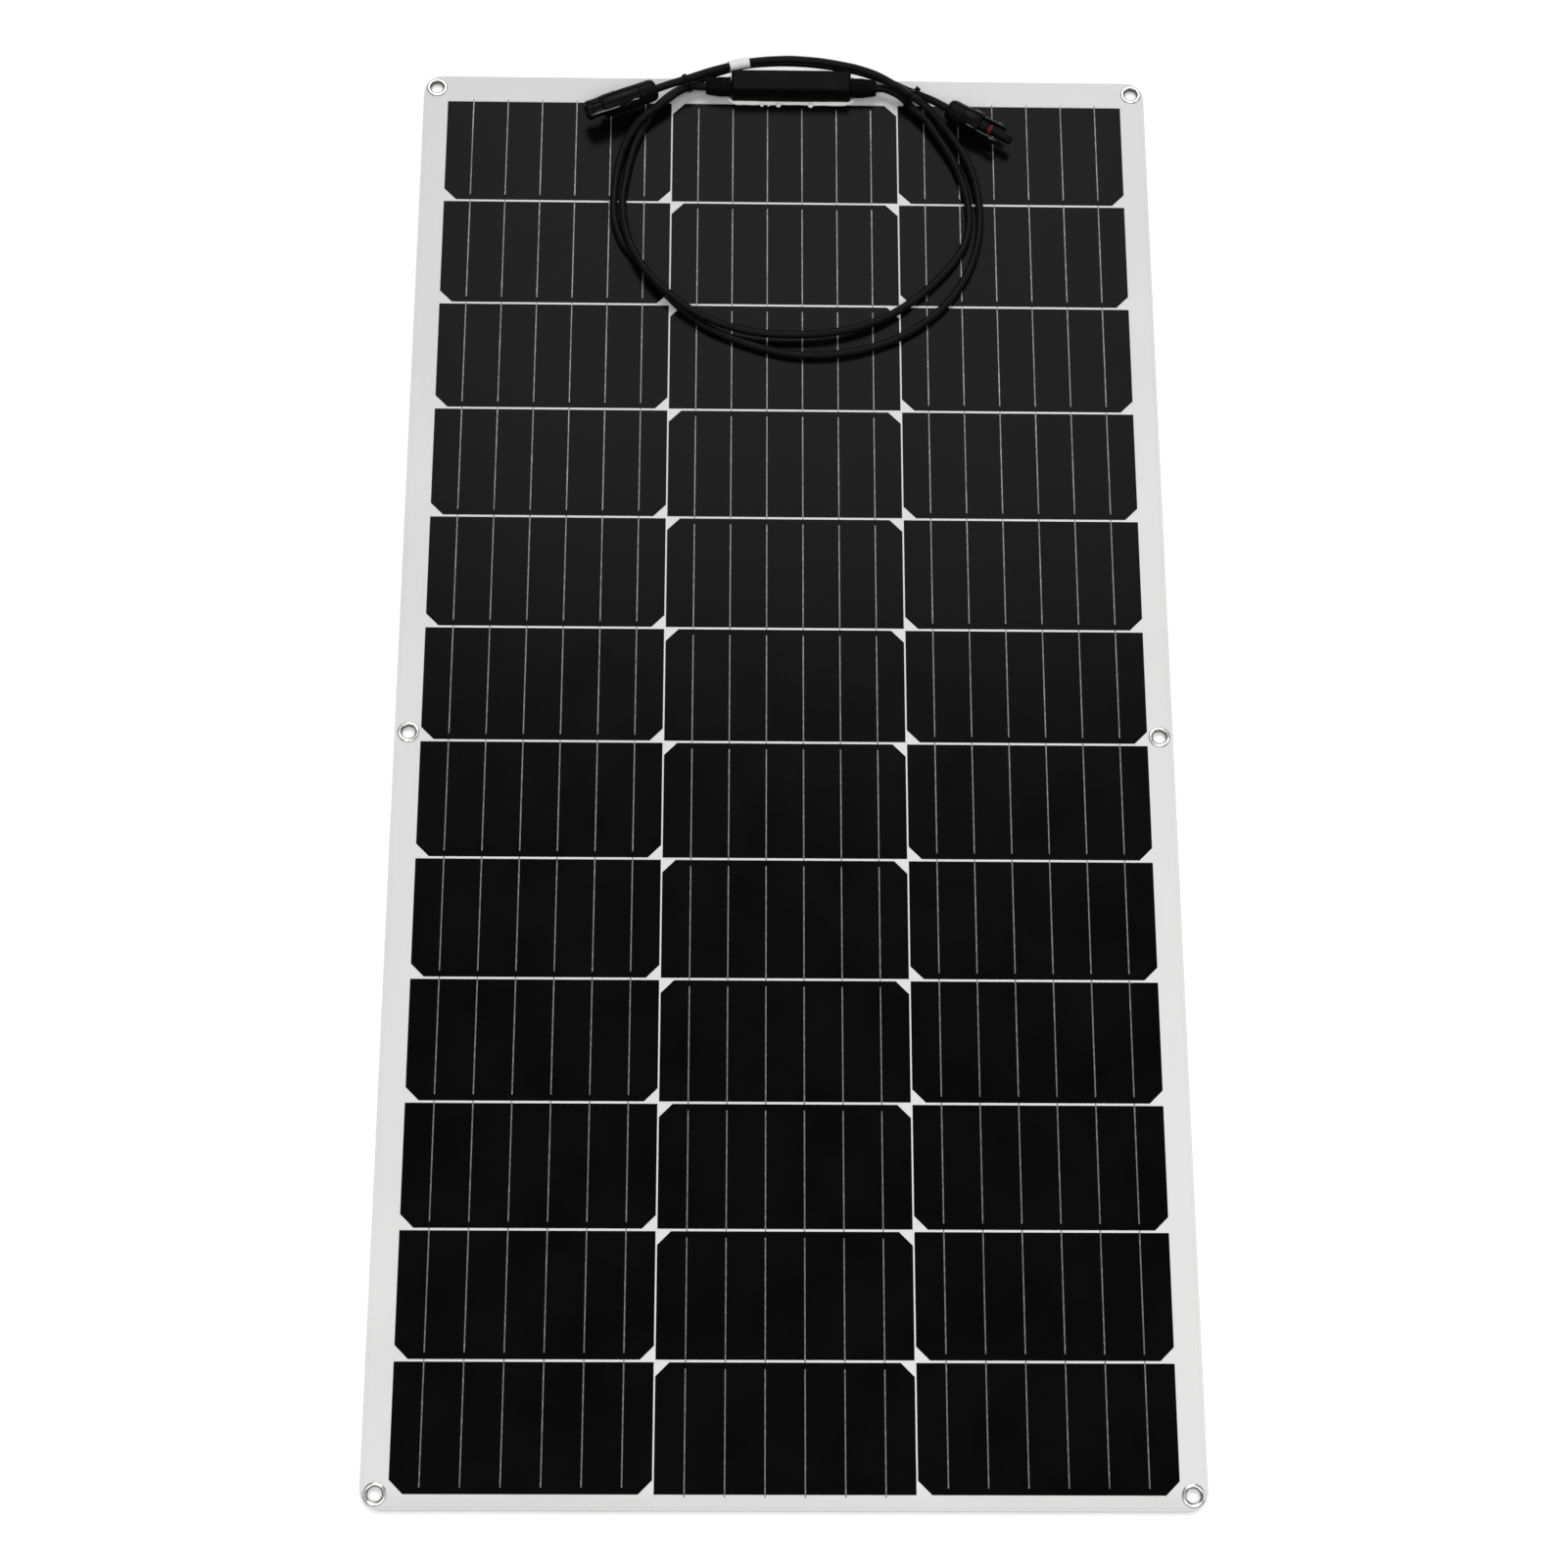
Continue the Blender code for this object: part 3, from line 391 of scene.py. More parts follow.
def feed(made, **values):
    """Joins outputs to the shader's sockets."""
    shader = made.node_tree.nodes["Principled BSDF"]
    names = {"colour": "Base Color", "roughness": "Roughness", "normal": "Normal"}
    for name, value in values.items():
        made.node_tree.links.new(value, shader.inputs[names[name]])


def bumps(made, *layers):
    """Stacks bump layers, each a height, a strength and a depth in metres."""
    normal = None
    for height, strength, depth in layers:
        inputs = {"Height": height, "Strength": strength, "Distance": depth}
        if normal:
            inputs["Normal"] = normal
        normal = node(made, "ShaderNodeBump", inputs).outputs["Normal"]
    feed(made, normal=normal)


def moulded(name, dark, light, rough, grain_size, grain_depth, **sockets):
    """Moulded plastic: a fine grain, uneven gloss and a few paler scuffs."""
    made = new_finish(name, dark, rough, **sockets)
    place = surface_place(made)
    patches = grain(made, place, 0.009, 4.0)
    fine = grain(made, place, grain_size, 2.0)
    feed(made, colour=tint(made, patches, dark, dark, light),
         roughness=spread(made, patches, rough - 0.05, rough + 0.07))
    bumps(made, (fine, 0.35, grain_depth), (patches, 0.15, 0.00008))
    return made


def laminate_finish():
    """White sheet: faintly clouded, with painted shade that darkens it toward its far end and its left side;
    it is also a little darker at its near rim.
    """
    made = new_finish("laminate_white", (0.56, 0.56, 0.556), 0.42, specular=0.10)
    place = surface_place(made, rest=True)
    cloud = grain(made, place, 0.11, 3.0)
    fine = grain(made, place, 0.0008, 3.0)
    axes = node(made, "ShaderNodeSeparateXYZ", {"Vector": place}).outputs
    level = spread(made, cloud, 0.0, 0.12)
    # Painted shade: darker toward the far end and the left side; the last term makes the near rim a little
    # darker
    for shade in (spread(made, axes["Y"], 0.58, 0.30, start=-0.35, end=sheet_far),
                  spread(made, axes["X"], -0.02, 0.08, start=-sheet_half, end=sheet_half),
                  spread(made, axes["Y"], -0.16, 0.0, start=sheet_near + 0.006, end=sheet_near + 0.0125)):
        level = reckon(made, "ADD", level, shade)
    feed(made, colour=tint(made, level, (0.512, 0.513, 0.512), (0.622, 0.622, 0.619)),
         roughness=spread(made, cloud, 0.38, 0.46))
    bumps(made, (cloud, 0.2, 0.0006), (fine, 0.18, 0.00003))
    return made


def cell_finish():
    """Dark silicon under film, with fine grid lines across each cell."""
    made = new_finish("cell_black", (0.002, 0.002, 0.0021), 0.22, specular=0.0252)
    place = surface_place(made, rest=True)
    cloud = grain(made, place, 0.05, 3.0)
    fine = grain(made, place, 0.0009, 2.0)
    waves = {"Vector": place, "Scale": wave_unit / finger_pitch, "Distortion": 0.0}
    fingers = node(made, "ShaderNodeTexWave", waves, bands_direction="Y").outputs["Fac"]
    lines = spread(made, fingers, 0.0, 0.25, start=0.93, end=0.99)
    level = reckon(made, "ADD", cloud, lines)
    feed(made, colour=tint(made, level, (0.0015, 0.0015, 0.0016), (0.0026, 0.0026, 0.0027)),
         roughness=spread(made, cloud, 0.20, 0.25))
    bumps(made, (cloud, 0.15, 0.0004), (fine, 0.12, 0.00002))
    return made


def ribbon_finish():
    """Solder-coated ribbon, flecked along its length."""
    made = new_finish("ribbon_tinned", (0.20, 0.20, 0.20), 0.45, metallic=0.35)
    place = surface_place(made, (1.0, 0.35, 1.0), rest=True)
    flecks = grain(made, place, 0.0012, 3.0)
    broad = grain(made, place, 0.012, 2.0)
    feed(made, colour=tint(made, flecks, (0.07, 0.07, 0.07), (0.12, 0.12, 0.12), (0.21, 0.21, 0.206)),
         roughness=spread(made, broad, 0.34, 0.55))
    bumps(made, (flecks, 0.5, 0.00008))
    return made


def metal_finish(name, low, high, rough):
    """Worn bare metal with faint scratches."""
    made = new_finish(name, high, rough, metallic=1.0)
    place = surface_place(made)
    wear = grain(made, place, 0.0025, 4.0)
    scratch = grain(made, surface_place(made, (1.0, 6.0, 1.0)), 0.0011, 2.0)
    feed(made, colour=tint(made, wear, low, high), roughness=spread(made, wear, rough - 0.06, rough + 0.12))
    bumps(made, (scratch, 0.12, 0.00003))
    return made


def eyelet_finish():
    """Nickel with painted light: a painted highlight on its crown, painted dark reflections at its rim and
    painted shade in its throat.
    """
    made = new_finish("nickel", (0.74, 0.73, 0.71), 0.20, metallic=1.0)
    place = surface_place(made, rest=True)
    wear = grain(made, place, 0.0030, 4.0)
    # Painted reflection and shade: bright at the crown's radius, dark toward the rim and the throat, broken
    # up by the wear noise
    out = node(made, "ShaderNodeVectorMath", {0: place}, operation="LENGTH").outputs["Value"]
    crown = (eyelet_barrel + eyelet_flange) / 2
    edge = reckon(made, "ABSOLUTE", reckon(made, "SUBTRACT", out, crown))
    level = reckon(made, "ADD", edge, spread(made, wear, -0.0003, 0.0003))
    share = spread(made, level, 0.7, 0.3, start=0.0002, end=0.0011)
    feed(made, colour=tint(made, share, (0.14, 0.135, 0.135), (0.46, 0.45, 0.44), (0.80, 0.79, 0.78)),
         roughness=spread(made, wear, 0.14, 0.30))
    bumps(made, (wear, 0.25, 0.00012))
    return made


def jacket_finish():
    """Rubbery cable jacket with pale scuffs."""
    made = new_finish("cable_jacket", (0.0040, 0.0040, 0.0042), 0.36, specular=0.055)
    place = surface_place(made)
    scuff = grain(made, place, 0.006, 4.0)
    fine = grain(made, place, 0.00035, 2.0)
    stops = (0.0028, 0.0028, 0.0030), (0.0036, 0.0036, 0.0038), (0.0058, 0.0058, 0.0058)
    feed(made, colour=tint(made, scuff, *stops), roughness=spread(made, scuff, 0.36, 0.48))
    bumps(made, (fine, 0.25, 0.00002), (scuff, 0.2, 0.00010))
    return made


def silicone_finish():
    """Lumpy white sealant that lets a little light in."""
    made = new_finish("silicone_white", (0.80, 0.80, 0.78), 0.32, subsurface=0.15)
    place = surface_place(made)
    lumps = grain(made, place, 0.004, 3.0)
    patches = grain(made, place, 0.018, 1.0)
    feed(made, colour=tint(made, patches, (0.82, 0.82, 0.81), (0.80, 0.80, 0.74)),
         roughness=spread(made, lumps, 0.26, 0.42))
    bumps(made, (lumps, 0.35, 0.0004))
    shader = made.node_tree.nodes["Principled BSDF"]
    shader.inputs["Subsurface Radius"].default_value = (0.002, 0.002, 0.0015)
    return made


def soft_finish(name, low, high, rough, size, **sockets):
    """Rubber, vinyl or paper with a fine even grain."""
    made = new_finish(name, high, rough, **sockets)
    place = surface_place(made)
    fine = grain(made, place, size, 3.0)
    broad = grain(made, place, size * 12, 2.0)
    feed(made, colour=tint(made, broad, low, high), roughness=spread(made, fine, rough - 0.06, rough + 0.08))
    bumps(made, (fine, 0.3, size * 0.15))
    return made


laminate_white = laminate_finish()
cell_black = cell_finish()
ribbon_tinned = ribbon_finish()
nickel = eyelet_finish()
tinned = metal_finish("tinned_copper", (0.52, 0.50, 0.47), (0.72, 0.70, 0.66), 0.32)
box_black = moulded("box_black", (0.0022, 0.0022, 0.0023), (0.0032, 0.0032, 0.0032), 0.38, 0.0005, 0.00004,
                    specular=0.020)
connector_black = moulded("connector_black", (0.0026, 0.0026, 0.0027), (0.0042, 0.0042, 0.0042), 0.32, 0.0004,
                          0.00003, specular=0.04)
connector_gloss = moulded("connector_gloss", (0.0040, 0.0040, 0.0042), (0.0060, 0.0060, 0.0060), 0.18, 0.0004,
                          0.00001, specular=0.50)
latch_black = moulded("latch_black", (0.0030, 0.0030, 0.0031), (0.0048, 0.0048, 0.0048), 0.24, 0.0004,
                      0.00002, specular=0.16)
tie_black = moulded("tie_black", (0.0030, 0.0030, 0.0031), (0.0050, 0.0050, 0.0050), 0.36, 0.0003, 0.00002,
                    specular=0.05)
cable_jacket = jacket_finish()
silicone_white = silicone_finish()
seal_red = soft_finish("seal_red", (0.052, 0.0060, 0.0052), (0.074, 0.0088, 0.0076), 0.50, 0.0003,
                       specular=0.08)
tag_white = soft_finish("tag_white", (0.58, 0.58, 0.58), (0.64, 0.64, 0.635), 0.5, 0.0005, specular=0.1)
floor_white = soft_finish("floor_white", (0.93, 0.93, 0.93), (0.95, 0.95, 0.95), 0.60, 0.002)


# Shapes
def loft(shape, rings, capped=True, closed=False, finish=0):
    """Skins rings of equal length; closed joins the last ring to the first one."""
    made = [[shape.verts.new(point) for point in ring] for ring in rings]
    pairs = list(zip(made, made[1:]))
    if closed:
        pairs.append((made[-1], made[0]))
    faces = []
    for one, two in pairs:
        for i in range(len(one)):
            j = (i + 1) % len(one)
            faces.append(shape.faces.new((one[i], one[j], two[j], two[i])))
    if capped and not closed:
        faces.append(shape.faces.new(made[0][::-1]))
        faces.append(shape.faces.new(made[-1]))
    for face in faces:
        face.material_index = finish


def piece(name, shape, *finishes, place=None, sharp=crisp_angle):
    """Makes a shape into a piece with smooth faces and crisp edges."""
    if place:
        bmesh.ops.transform(shape, matrix=place, verts=shape.verts)
    bmesh.ops.recalc_face_normals(shape, faces=shape.faces)
    mesh = bpy.data.meshes.new(name)
    shape.to_mesh(mesh)
    shape.free()
    for finish in finishes:
        mesh.materials.append(finish)
    mesh.shade_smooth()
    mesh.set_sharp_from_angle(angle=math.radians(sharp))
    made = bpy.data.objects.new(name, mesh)
    scene.collection.objects.link(made)
    return made


def keep_rest_map(shape):
    """Keeps each point's place at rest, so that the finish bends with the sheet."""
    layer = shape.loops.layers.uv.new("rest")
    for face in shape.faces:
        for corner in face.loops:
            corner[layer].uv = corner.vert.co.xy


def circle(radius, along, steps):
    """A ring square to Z."""
    turn = 2 * math.pi / steps
    return [Vector((radius * math.cos(i * turn), radius * math.sin(i * turn), along)) for i in range(steps)]


def oval(along, half_x, half_y=None, square=2.0, steps=64):
    """A circle, or a ring with two half widths: an ellipse at square 2, more of a rectangle above that."""
    half_y = half_y or half_x
    ring = []
    for i in range(steps):
        angle = 2 * math.pi * (i + 0.5) / steps
        across, up = math.cos(angle), math.sin(angle)
        ring.append(Vector((half_x * math.copysign(abs(across) ** (2 / square), across),
                            half_y * math.copysign(abs(up) ** (2 / square), up), along)))
    return ring


def rounded_ring(low, high, radius, z, inset=0.0, steps=6):
    """A rectangle with round corners at one level."""
    radius = max(radius - inset, 0.0002)
    corners = ((high[0], high[1], 0), (low[0], high[1], 90), (low[0], low[1], 180), (high[0], low[1], 270))
    middle_x, middle_y = (low[0] + high[0]) / 2, (low[1] + high[1]) / 2
    ring = []
    for x, y, start in corners:
        centre_x = x - math.copysign(radius + inset, x - middle_x)
        centre_y = y - math.copysign(radius + inset, y - middle_y)
        for i in range(steps + 1):
            across, up = radius * heading(start + 90 * i / steps)
            ring.append(Vector((centre_x + across, centre_y + up, z)))
    return ring


def turned_piece(name, finish, place, sections, steps, waves=0, depth=0.0):
    """A turned ring: each section has its place along, its radius and maybe its share of the waves' depth."""
    rings = []
    for along, radius, *share in sections:
        ring = []
        for point in circle(1.0, along, steps):
            angle = math.atan2(point.y, point.x)
            size = radius - depth * sum(share) * (0.5 - 0.5 * math.cos(waves * angle))
            ring.append(Vector((size * point.x, size * point.y, along)))
        rings.append(ring)
    shape = bmesh.new()
    loft(shape, rings, closed=True)
    return piece(name, shape, finish, place=place)


def quarter(radius, steps=6):
    """Inset and rise of a rounded edge, from its side to its top."""
    for i in range(steps + 1):
        angle = math.radians(90 * i / steps)
        yield radius * (1 - math.cos(angle)), radius * math.sin(angle)


def ride_on(made, body, slot, *nodes):
    """Fixes a piece to a body and hides the nodes it stands for; the slot is not used."""
    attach(made, body)
    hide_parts(*nodes)
    return made


# Cables
def even_points(points, count):
    """The ends of even steps along a line, from its start to its end."""
    lengths = [0.0]
    for a, b in zip(points, points[1:]):
        lengths.append(lengths[-1] + (b - a).length)
    even, k = [], 0
    for i in range(count + 1):
        want = lengths[-1] * i / count
        while k < len(points) - 2 and lengths[k + 1] < want:
            k += 1
        share = (want - lengths[k]) / (lengths[k + 1] - lengths[k])
        even.append(points[k].lerp(points[k + 1], min(1.0, share)))
    return even


def smooth_points(points, spacing):
    """Even points along a smooth curve through the given ones; its first and last stretch stay straight."""
    points = [Vector(p) for p in points]
    fine = []
    steps = 24
    for a, b, c, d in zip(points, points[1:], points[2:], points[3:]):
        for i in range(steps):
            t = i / steps
            fine.append(0.5 * (2 * b + (c - a) * t + (2 * a - 5 * b + 4 * c - d) * t ** 2
                               + (3 * b - a - 3 * c + d) * t ** 3))
    fine.append(points[-2])
    length = sum((b - a).length for a, b in zip(fine, fine[1:]))
    return [points[0], *even_points(fine, max(2, round(length / spacing))), points[-1]]


def connector_place(joint):
    """A connector's own axes: X to its side, Y up, Z from the nut's rear to the mating end."""
    along = Vector(joints[joint]["axis"]).normalized()
    side = UP.cross(along)
    turn = Matrix((side, UP, along)).transposed().to_4x4()
    return Matrix.Translation(joints[joint]["pos_m"]) @ turn


socket_place = connector_place("socket_nut_turn")
plug_place = connector_place("plug_nut_turn")


def cable_line(wall, out, route, place):
    """A cable's middle line: from its lead in the box, through the gland and round to a connector's nut."""
    along_gland = (-cable_lead_in, gland_length, gland_length + cable_diameter)
    start = [(wall + out * x, gland_middle, gland_level) for x in along_gland]
    end = [place @ Vector((0.0, 0.0, z)) for z in (-2 * cable_diameter, -cable_radius, cable_in_nut)]
    between = [(x, y, film_top + height) for x, y, height in route]
    return smooth_points([*start, *between, *end], cable_spacing)


def cable_piece(name, line):
    """A round cable along a line."""
    curve = bpy.data.curves.new(name, "CURVE")
    curve.dimensions = "3D"
    curve.bevel_depth = cable_radius
    curve.bevel_resolution = 6
    curve.use_fill_caps = True
    spline = curve.splines.new("POLY")
    spline.points.add(len(line) - 1)
    for point, place in zip(spline.points, line):
        point.co = (*place, 1.0)
    curve.materials.append(cable_jacket)
    made = bpy.data.objects.new(name, curve)
    scene.collection.objects.link(made)
    return made


left_line = cable_line(base_low.x, -1, left_route, socket_place)
right_line = cable_line(base_high.x, 1, right_route, plug_place)
left_cable = ride_on(cable_piece("left_cable", left_line), "far_strip", "cable_black", "cable_left")
right_cable = ride_on(cable_piece("right_cable", right_line), "far_strip", "cable_black", "cable_right")


def stretch_of(points, start, end):
    """The part of a line between two distances along it."""
    taken, walked = [], 0.0
    for a, b in zip(points, points[1:]):
        step = (b - a).length
        if walked < end and walked + step > start:
            if not taken:
                taken.append(a.lerp(b, max(0.0, (start - walked) / step)))
            taken.append(a.lerp(b, min(1.0, (end - walked) / step)))
        walked += step
    return taken


def rings_along(line, outline):
    """An outline, with X to the side and Y up, set square to a line at each of its points."""
    last = len(line) - 1
    rings = []
    for i, point in enumerate(line):
        along = (line[min(i + 1, last)] - line[max(i - 1, 0)]).normalized()
        side = along.cross(UP).normalized()
        up = side.cross(along)
        rings.append([point + side * corner.x + up * corner.y for corner in outline])
    return rings


def tag_piece(line):
    """A blank sleeve wrapped round the cable, with a thin seam where its ends overlap."""
    bore = cable_radius + tag_gap
    inner = circle(bore, 0.0, round_steps)
    outer = []
    for i, point in enumerate(inner):
        radius = bore + tag_wall + tag_wall * tag_overlap * (1 - i / round_steps)
        outer.append(point * (radius / bore))
    outside = rings_along(line, outer)
    inside = rings_along(line, inner)
    shape = bmesh.new()
    loft(shape, outside + inside[::-1], closed=True)
    return piece("sleeve_tag", shape, tag_white)


tag_line = stretch_of(left_line[::-1], tag_from_end, tag_from_end + tag_length)
tag = ride_on(tag_piece(tag_line), "far_strip", "tag_white", "cable_tag")


# Cable ties
def hull(points):
    """The corners of the tightest loop round some points, counter-clockwise."""
    def half(ordered):
        """One side of the loop."""
        chain = []
        for point in ordered:
            while len(chain) > 1 and (chain[-1] - chain[-2]).cross(point - chain[-2]) <= 0:
                chain.pop()
            chain.append(point)
        return chain[:-1]

    ordered = sorted(points, key=lambda point: (point.x, point.y))
    return half(ordered) + half(ordered[::-1])


def tie_piece(side):
    """A thin band drawn tight round the strands that cross its plane, with a head and a cropped tail."""
    (x, y), strand_turn, head_turn = tie_places[side]
    along = heading(strand_turn).to_3d()
    across = along.cross(UP)
    if across.y < 0:
        across = -across
    middle = Vector((x, y, gland_level))
    strands = []
    for line in (left_line, right_line):
        for a, b in zip(line, line[1:]):
            before, after = (a - middle).dot(along), (b - middle).dot(along)
            if before * after < 0:
                crossing = a.lerp(b, before / (before - after)) - middle
                if crossing.length < tie_reach:
                    strands.append(Vector((crossing.dot(across), crossing.z)))
    rim = circle(cable_radius + tie_clearance, 0.0, round_steps)
    corners = hull([strand + point.xy for strand in strands for point in rim])
    loop = even_points(corners + corners[:1], tie_steps)[:-1]
    outward = []
    for before, after in zip(loop[-1:] + loop[:-1], loop[1:] + loop[:1]):
        run = (after - before).normalized()
        outward.append(Vector((run.y, -run.x)))

    def ring(lift, z):
        """The loop moved outward, at one place across the band."""
        return [Vector((*(point + way * lift), z)) for point, way in zip(loop, outward)]

    top, flat = tie_thickness, tie_half_width
    shape = bmesh.new()
    loft(shape, [ring(0.0, -flat), ring(top - tie_ease, -flat), ring(top, tie_ease - flat),
                 ring(top, flat - tie_ease), ring(top - tie_ease, flat), ring(0.0, flat)], closed=True)
    facing = heading(head_turn)
    seat = max(range(len(loop)), key=lambda i: loop[i].dot(facing))
    out, low = outward[seat], loop[seat]
    run = Vector((-out.y, out.x))
    brow = top + tie_head_lift - tie_ease
    head_levels = [(top / 2, 0.0)] + [(brow + rise, inset) for inset, rise in quarter(tie_ease, 3)]
    head = (tie_head_half, tie_head_half), 0.0, head_levels
    tail = ((tie_tail / 2, tie_half_width * tie_tail_taper), tie_head_half + tie_tail / 2 - tie_ease,
            [(top, 0.0), (tie_tail_rise * top, 0.0)])
    for half, offset, levels in (head, tail):
        rings = []
        for rise, inset in levels:
            block = rounded_ring((-half[0], -half[1]), half, 2 * tie_ease, 0.0, inset)
            base = low + out * rise
            rings.append([Vector((*(base + run * (offset + point.x)), point.y)) for point in block])
        loft(shape, rings)
    turn = Matrix((across, UP, across.cross(UP))).transposed().to_4x4()
    return piece(f"tie_{side}", shape, tie_black, place=Matrix.Translation(middle) @ turn)


ties = {side: ride_on(tie_piece(side), "far_strip", "box_black", f"cable_tie_{side}") for side in tie_places}


# Laminate and cells: six segments of two rows, the inner four each across a flex line
def row_far(row):
    """The far edge of a row of cells."""
    return cells_far - row * row_pitch


def column_middle(column):
    """The middle of a column of cells."""
    return (column - (len(column_names) - 1) / 2) * column_pitch


def slices(far, near):
    """Even steps from a far to a near place."""
    count = max(1, round((far - near) / slice_length))
    return [far + (near - far) * i / count for i in range(count + 1)]


def bar(shape, middle, stations, bottom, top, ease, finish=0):
    """A flat bar along Y; each station gives its place and half width, and its upper edges are eased."""
    rings = []
    for y, half in stations:
        rings.append([(middle - half, y, bottom), (middle + half, y, bottom), (middle + half, y, top - ease),
                      (middle + half - ease, y, top), (middle - half + ease, y, top),
                      (middle - half, y, top - ease)])
    loft(shape, rings, finish=finish)


def sheet_ring(y, half, drop):
    """A section of the sheet: a thin lip runs round its edge, a step below the film."""
    lip_top = sheet_top - max(lip_step, drop)
    film = sheet_top - drop
    under = sheet_bottom + edge_ease
    right = [(half - edge_ease, sheet_bottom), (half, under), (half, lip_top - edge_ease),
             (half - edge_ease, lip_top), (half - edge_lip, lip_top), (half - edge_lip - lip_step, film)]
    left = [(-x, z) for x, z in reversed(right)]
    return [Vector((x, y, z)) for x, z in right + left]


def end_stations(end, inward):
    """Stations over the round corners at one end of the sheet, from its edge inward."""
    steps = 12
    depths = [0.0, edge_ease, edge_lip, edge_lip + lip_step]
    depths += [corner_radius * (1 - math.cos(math.radians(90 * i / steps))) for i in range(1, steps + 1)]
    stations = []
    for depth in sorted(depths):
        half = sheet_half - corner_radius + math.sqrt(corner_radius ** 2 - (corner_radius - depth) ** 2)
        drop = 0.0
        if depth < edge_lip + lip_step / 2:
            drop = lip_step
        if depth < edge_ease / 2:
            drop = lip_step + edge_ease
        stations.append((end + inward * depth, half, drop))
    return stations


def segment_span(segment):
    """The far and near ends of a segment of the sheet."""
    first = segment * rows_per_segment
    far = sheet_far if segment == 0 else row_far(first) + row_gap / 2
    near = sheet_near if segment == last_segment else row_far(first + rows_per_segment) + row_gap / 2
    return far, near


def laminate_segment(segment):
    """The laminate of one segment, with the round corners of an end one."""
    far, near = segment_span(segment)
    stations = []
    start, stop = far, near
    if segment == 0:
        stations = end_stations(far, -1)
        start = far - corner_radius - slice_length
    if segment == last_segment:
        stop = near + corner_radius + slice_length
    stations += [(y, sheet_half, 0.0) for y in slices(start, stop)]
    if segment == last_segment:
        stations += end_stations(near, 1)[::-1]
    shape = bmesh.new()
    loft(shape, [sheet_ring(*station) for station in stations])
    keep_rest_map(shape)
    return piece(f"laminate_{segment_names[segment]}", shape, laminate_white)


def cut(made, shape):
    """Takes a shape out of a piece for good."""
    tool = piece("tool", shape)
    change = made.modifiers.new("cut", "BOOLEAN")
    change.object = tool
    change.solver = "EXACT"
    bpy.context.view_layer.update()
    graph = bpy.context.evaluated_depsgraph_get()
    mesh = bpy.data.meshes.new_from_object(made.evaluated_get(graph))
    made.modifiers.clear()
    made.data = mesh
    mesh.set_sharp_from_angle(angle=math.radians(crisp_angle))
    bpy.data.objects.remove(tool)


def cell_stations(row, chamfer_far):
    """Stations along one half-cut cell, which has chamfers on one of its long edges."""
    far = row_far(row)
    near = far - cell_height
    narrow = cell_half - cell_chamfer
    if chamfer_far:
        return [(far, narrow)] + [(y, cell_half) for y in slices(far - cell_chamfer, near)]
    return [(y, cell_half) for y in slices(far, near + cell_chamfer)] + [(near, narrow)]


def cell_segment(segment, column):
    """Two cells of one column with their ribbons, which run on over the straight edges."""
    middle = column_middle(column)
    chamfer_far = column_names[column] == "middle"
    shape = bmesh.new()
    for row in range(segment * rows_per_segment, (segment + 1) * rows_per_segment):
        bar(shape, middle, cell_stations(row, chamfer_far), sheet_top - cell_rise, cell_top, cell_ease)
        far = row_far(row) - (ribbon_setback if chamfer_far else -ribbon_overrun)
        near = row_far(row) - cell_height + (-ribbon_overrun if chamfer_far else ribbon_setback)
        for i in range(ribbon_count):
            x = middle + (i - (ribbon_count - 1) / 2) * ribbon_pitch
            stations = [(y, ribbon_width / 2) for y in slices(far, near)]
            bar(shape, x, stations, sheet_top - cell_rise, ribbon_top, ribbon_ease, finish=1)
    keep_rest_map(shape)
    return piece(f"cells_{column_names[column]}_{segment_names[segment]}", shape, cell_black, ribbon_tinned)


def join_strips(made, strips):
    """Rides on one strip; across two strips, it only has its transform baked into its mesh."""
    bodies = [f"{strip}_strip" for strip in strips]
    if len(bodies) == 1:
        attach(made, bodies[0])
        return
    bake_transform(made)


eyelet_places = {}
for end in ("far", "middle", "near"):
    for side in ("left", "right"):
        low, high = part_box(f"eyelet_{end}_{side}")
        eyelet_places[f"{end}_{side}"] = (low + high) / 2

for segment in range(last_segment + 1):
    strips = strip_names[max(0, segment - 1):segment + 1]
    far, near = segment_span(segment)
    sheet = laminate_segment(segment)
    holes = bmesh.new()
    for place in eyelet_places.values():
        if near < place.y < far:
            middle = Vector((place.x, place.y, 0.0))
            rims = [circle(eyelet_barrel + hole_clearance, level, hole_steps) for level in hole_reach]
            loft(holes, [[point + middle for point in rim] for rim in rims])
    if holes.verts:
        cut(sheet, holes)
    else:
        holes.free()
    join_strips(sheet, strips)
    layers = ("backsheet", "encapsulant", "front_film")
    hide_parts(*[f"{layer}_{strip}" for layer in layers for strip in strips])
    for column, name in enumerate(column_names):
        cells = cell_segment(segment, column)
        join_strips(cells, strips)
        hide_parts(*[f"cell_string_{name}_{strip}" for strip in strips])


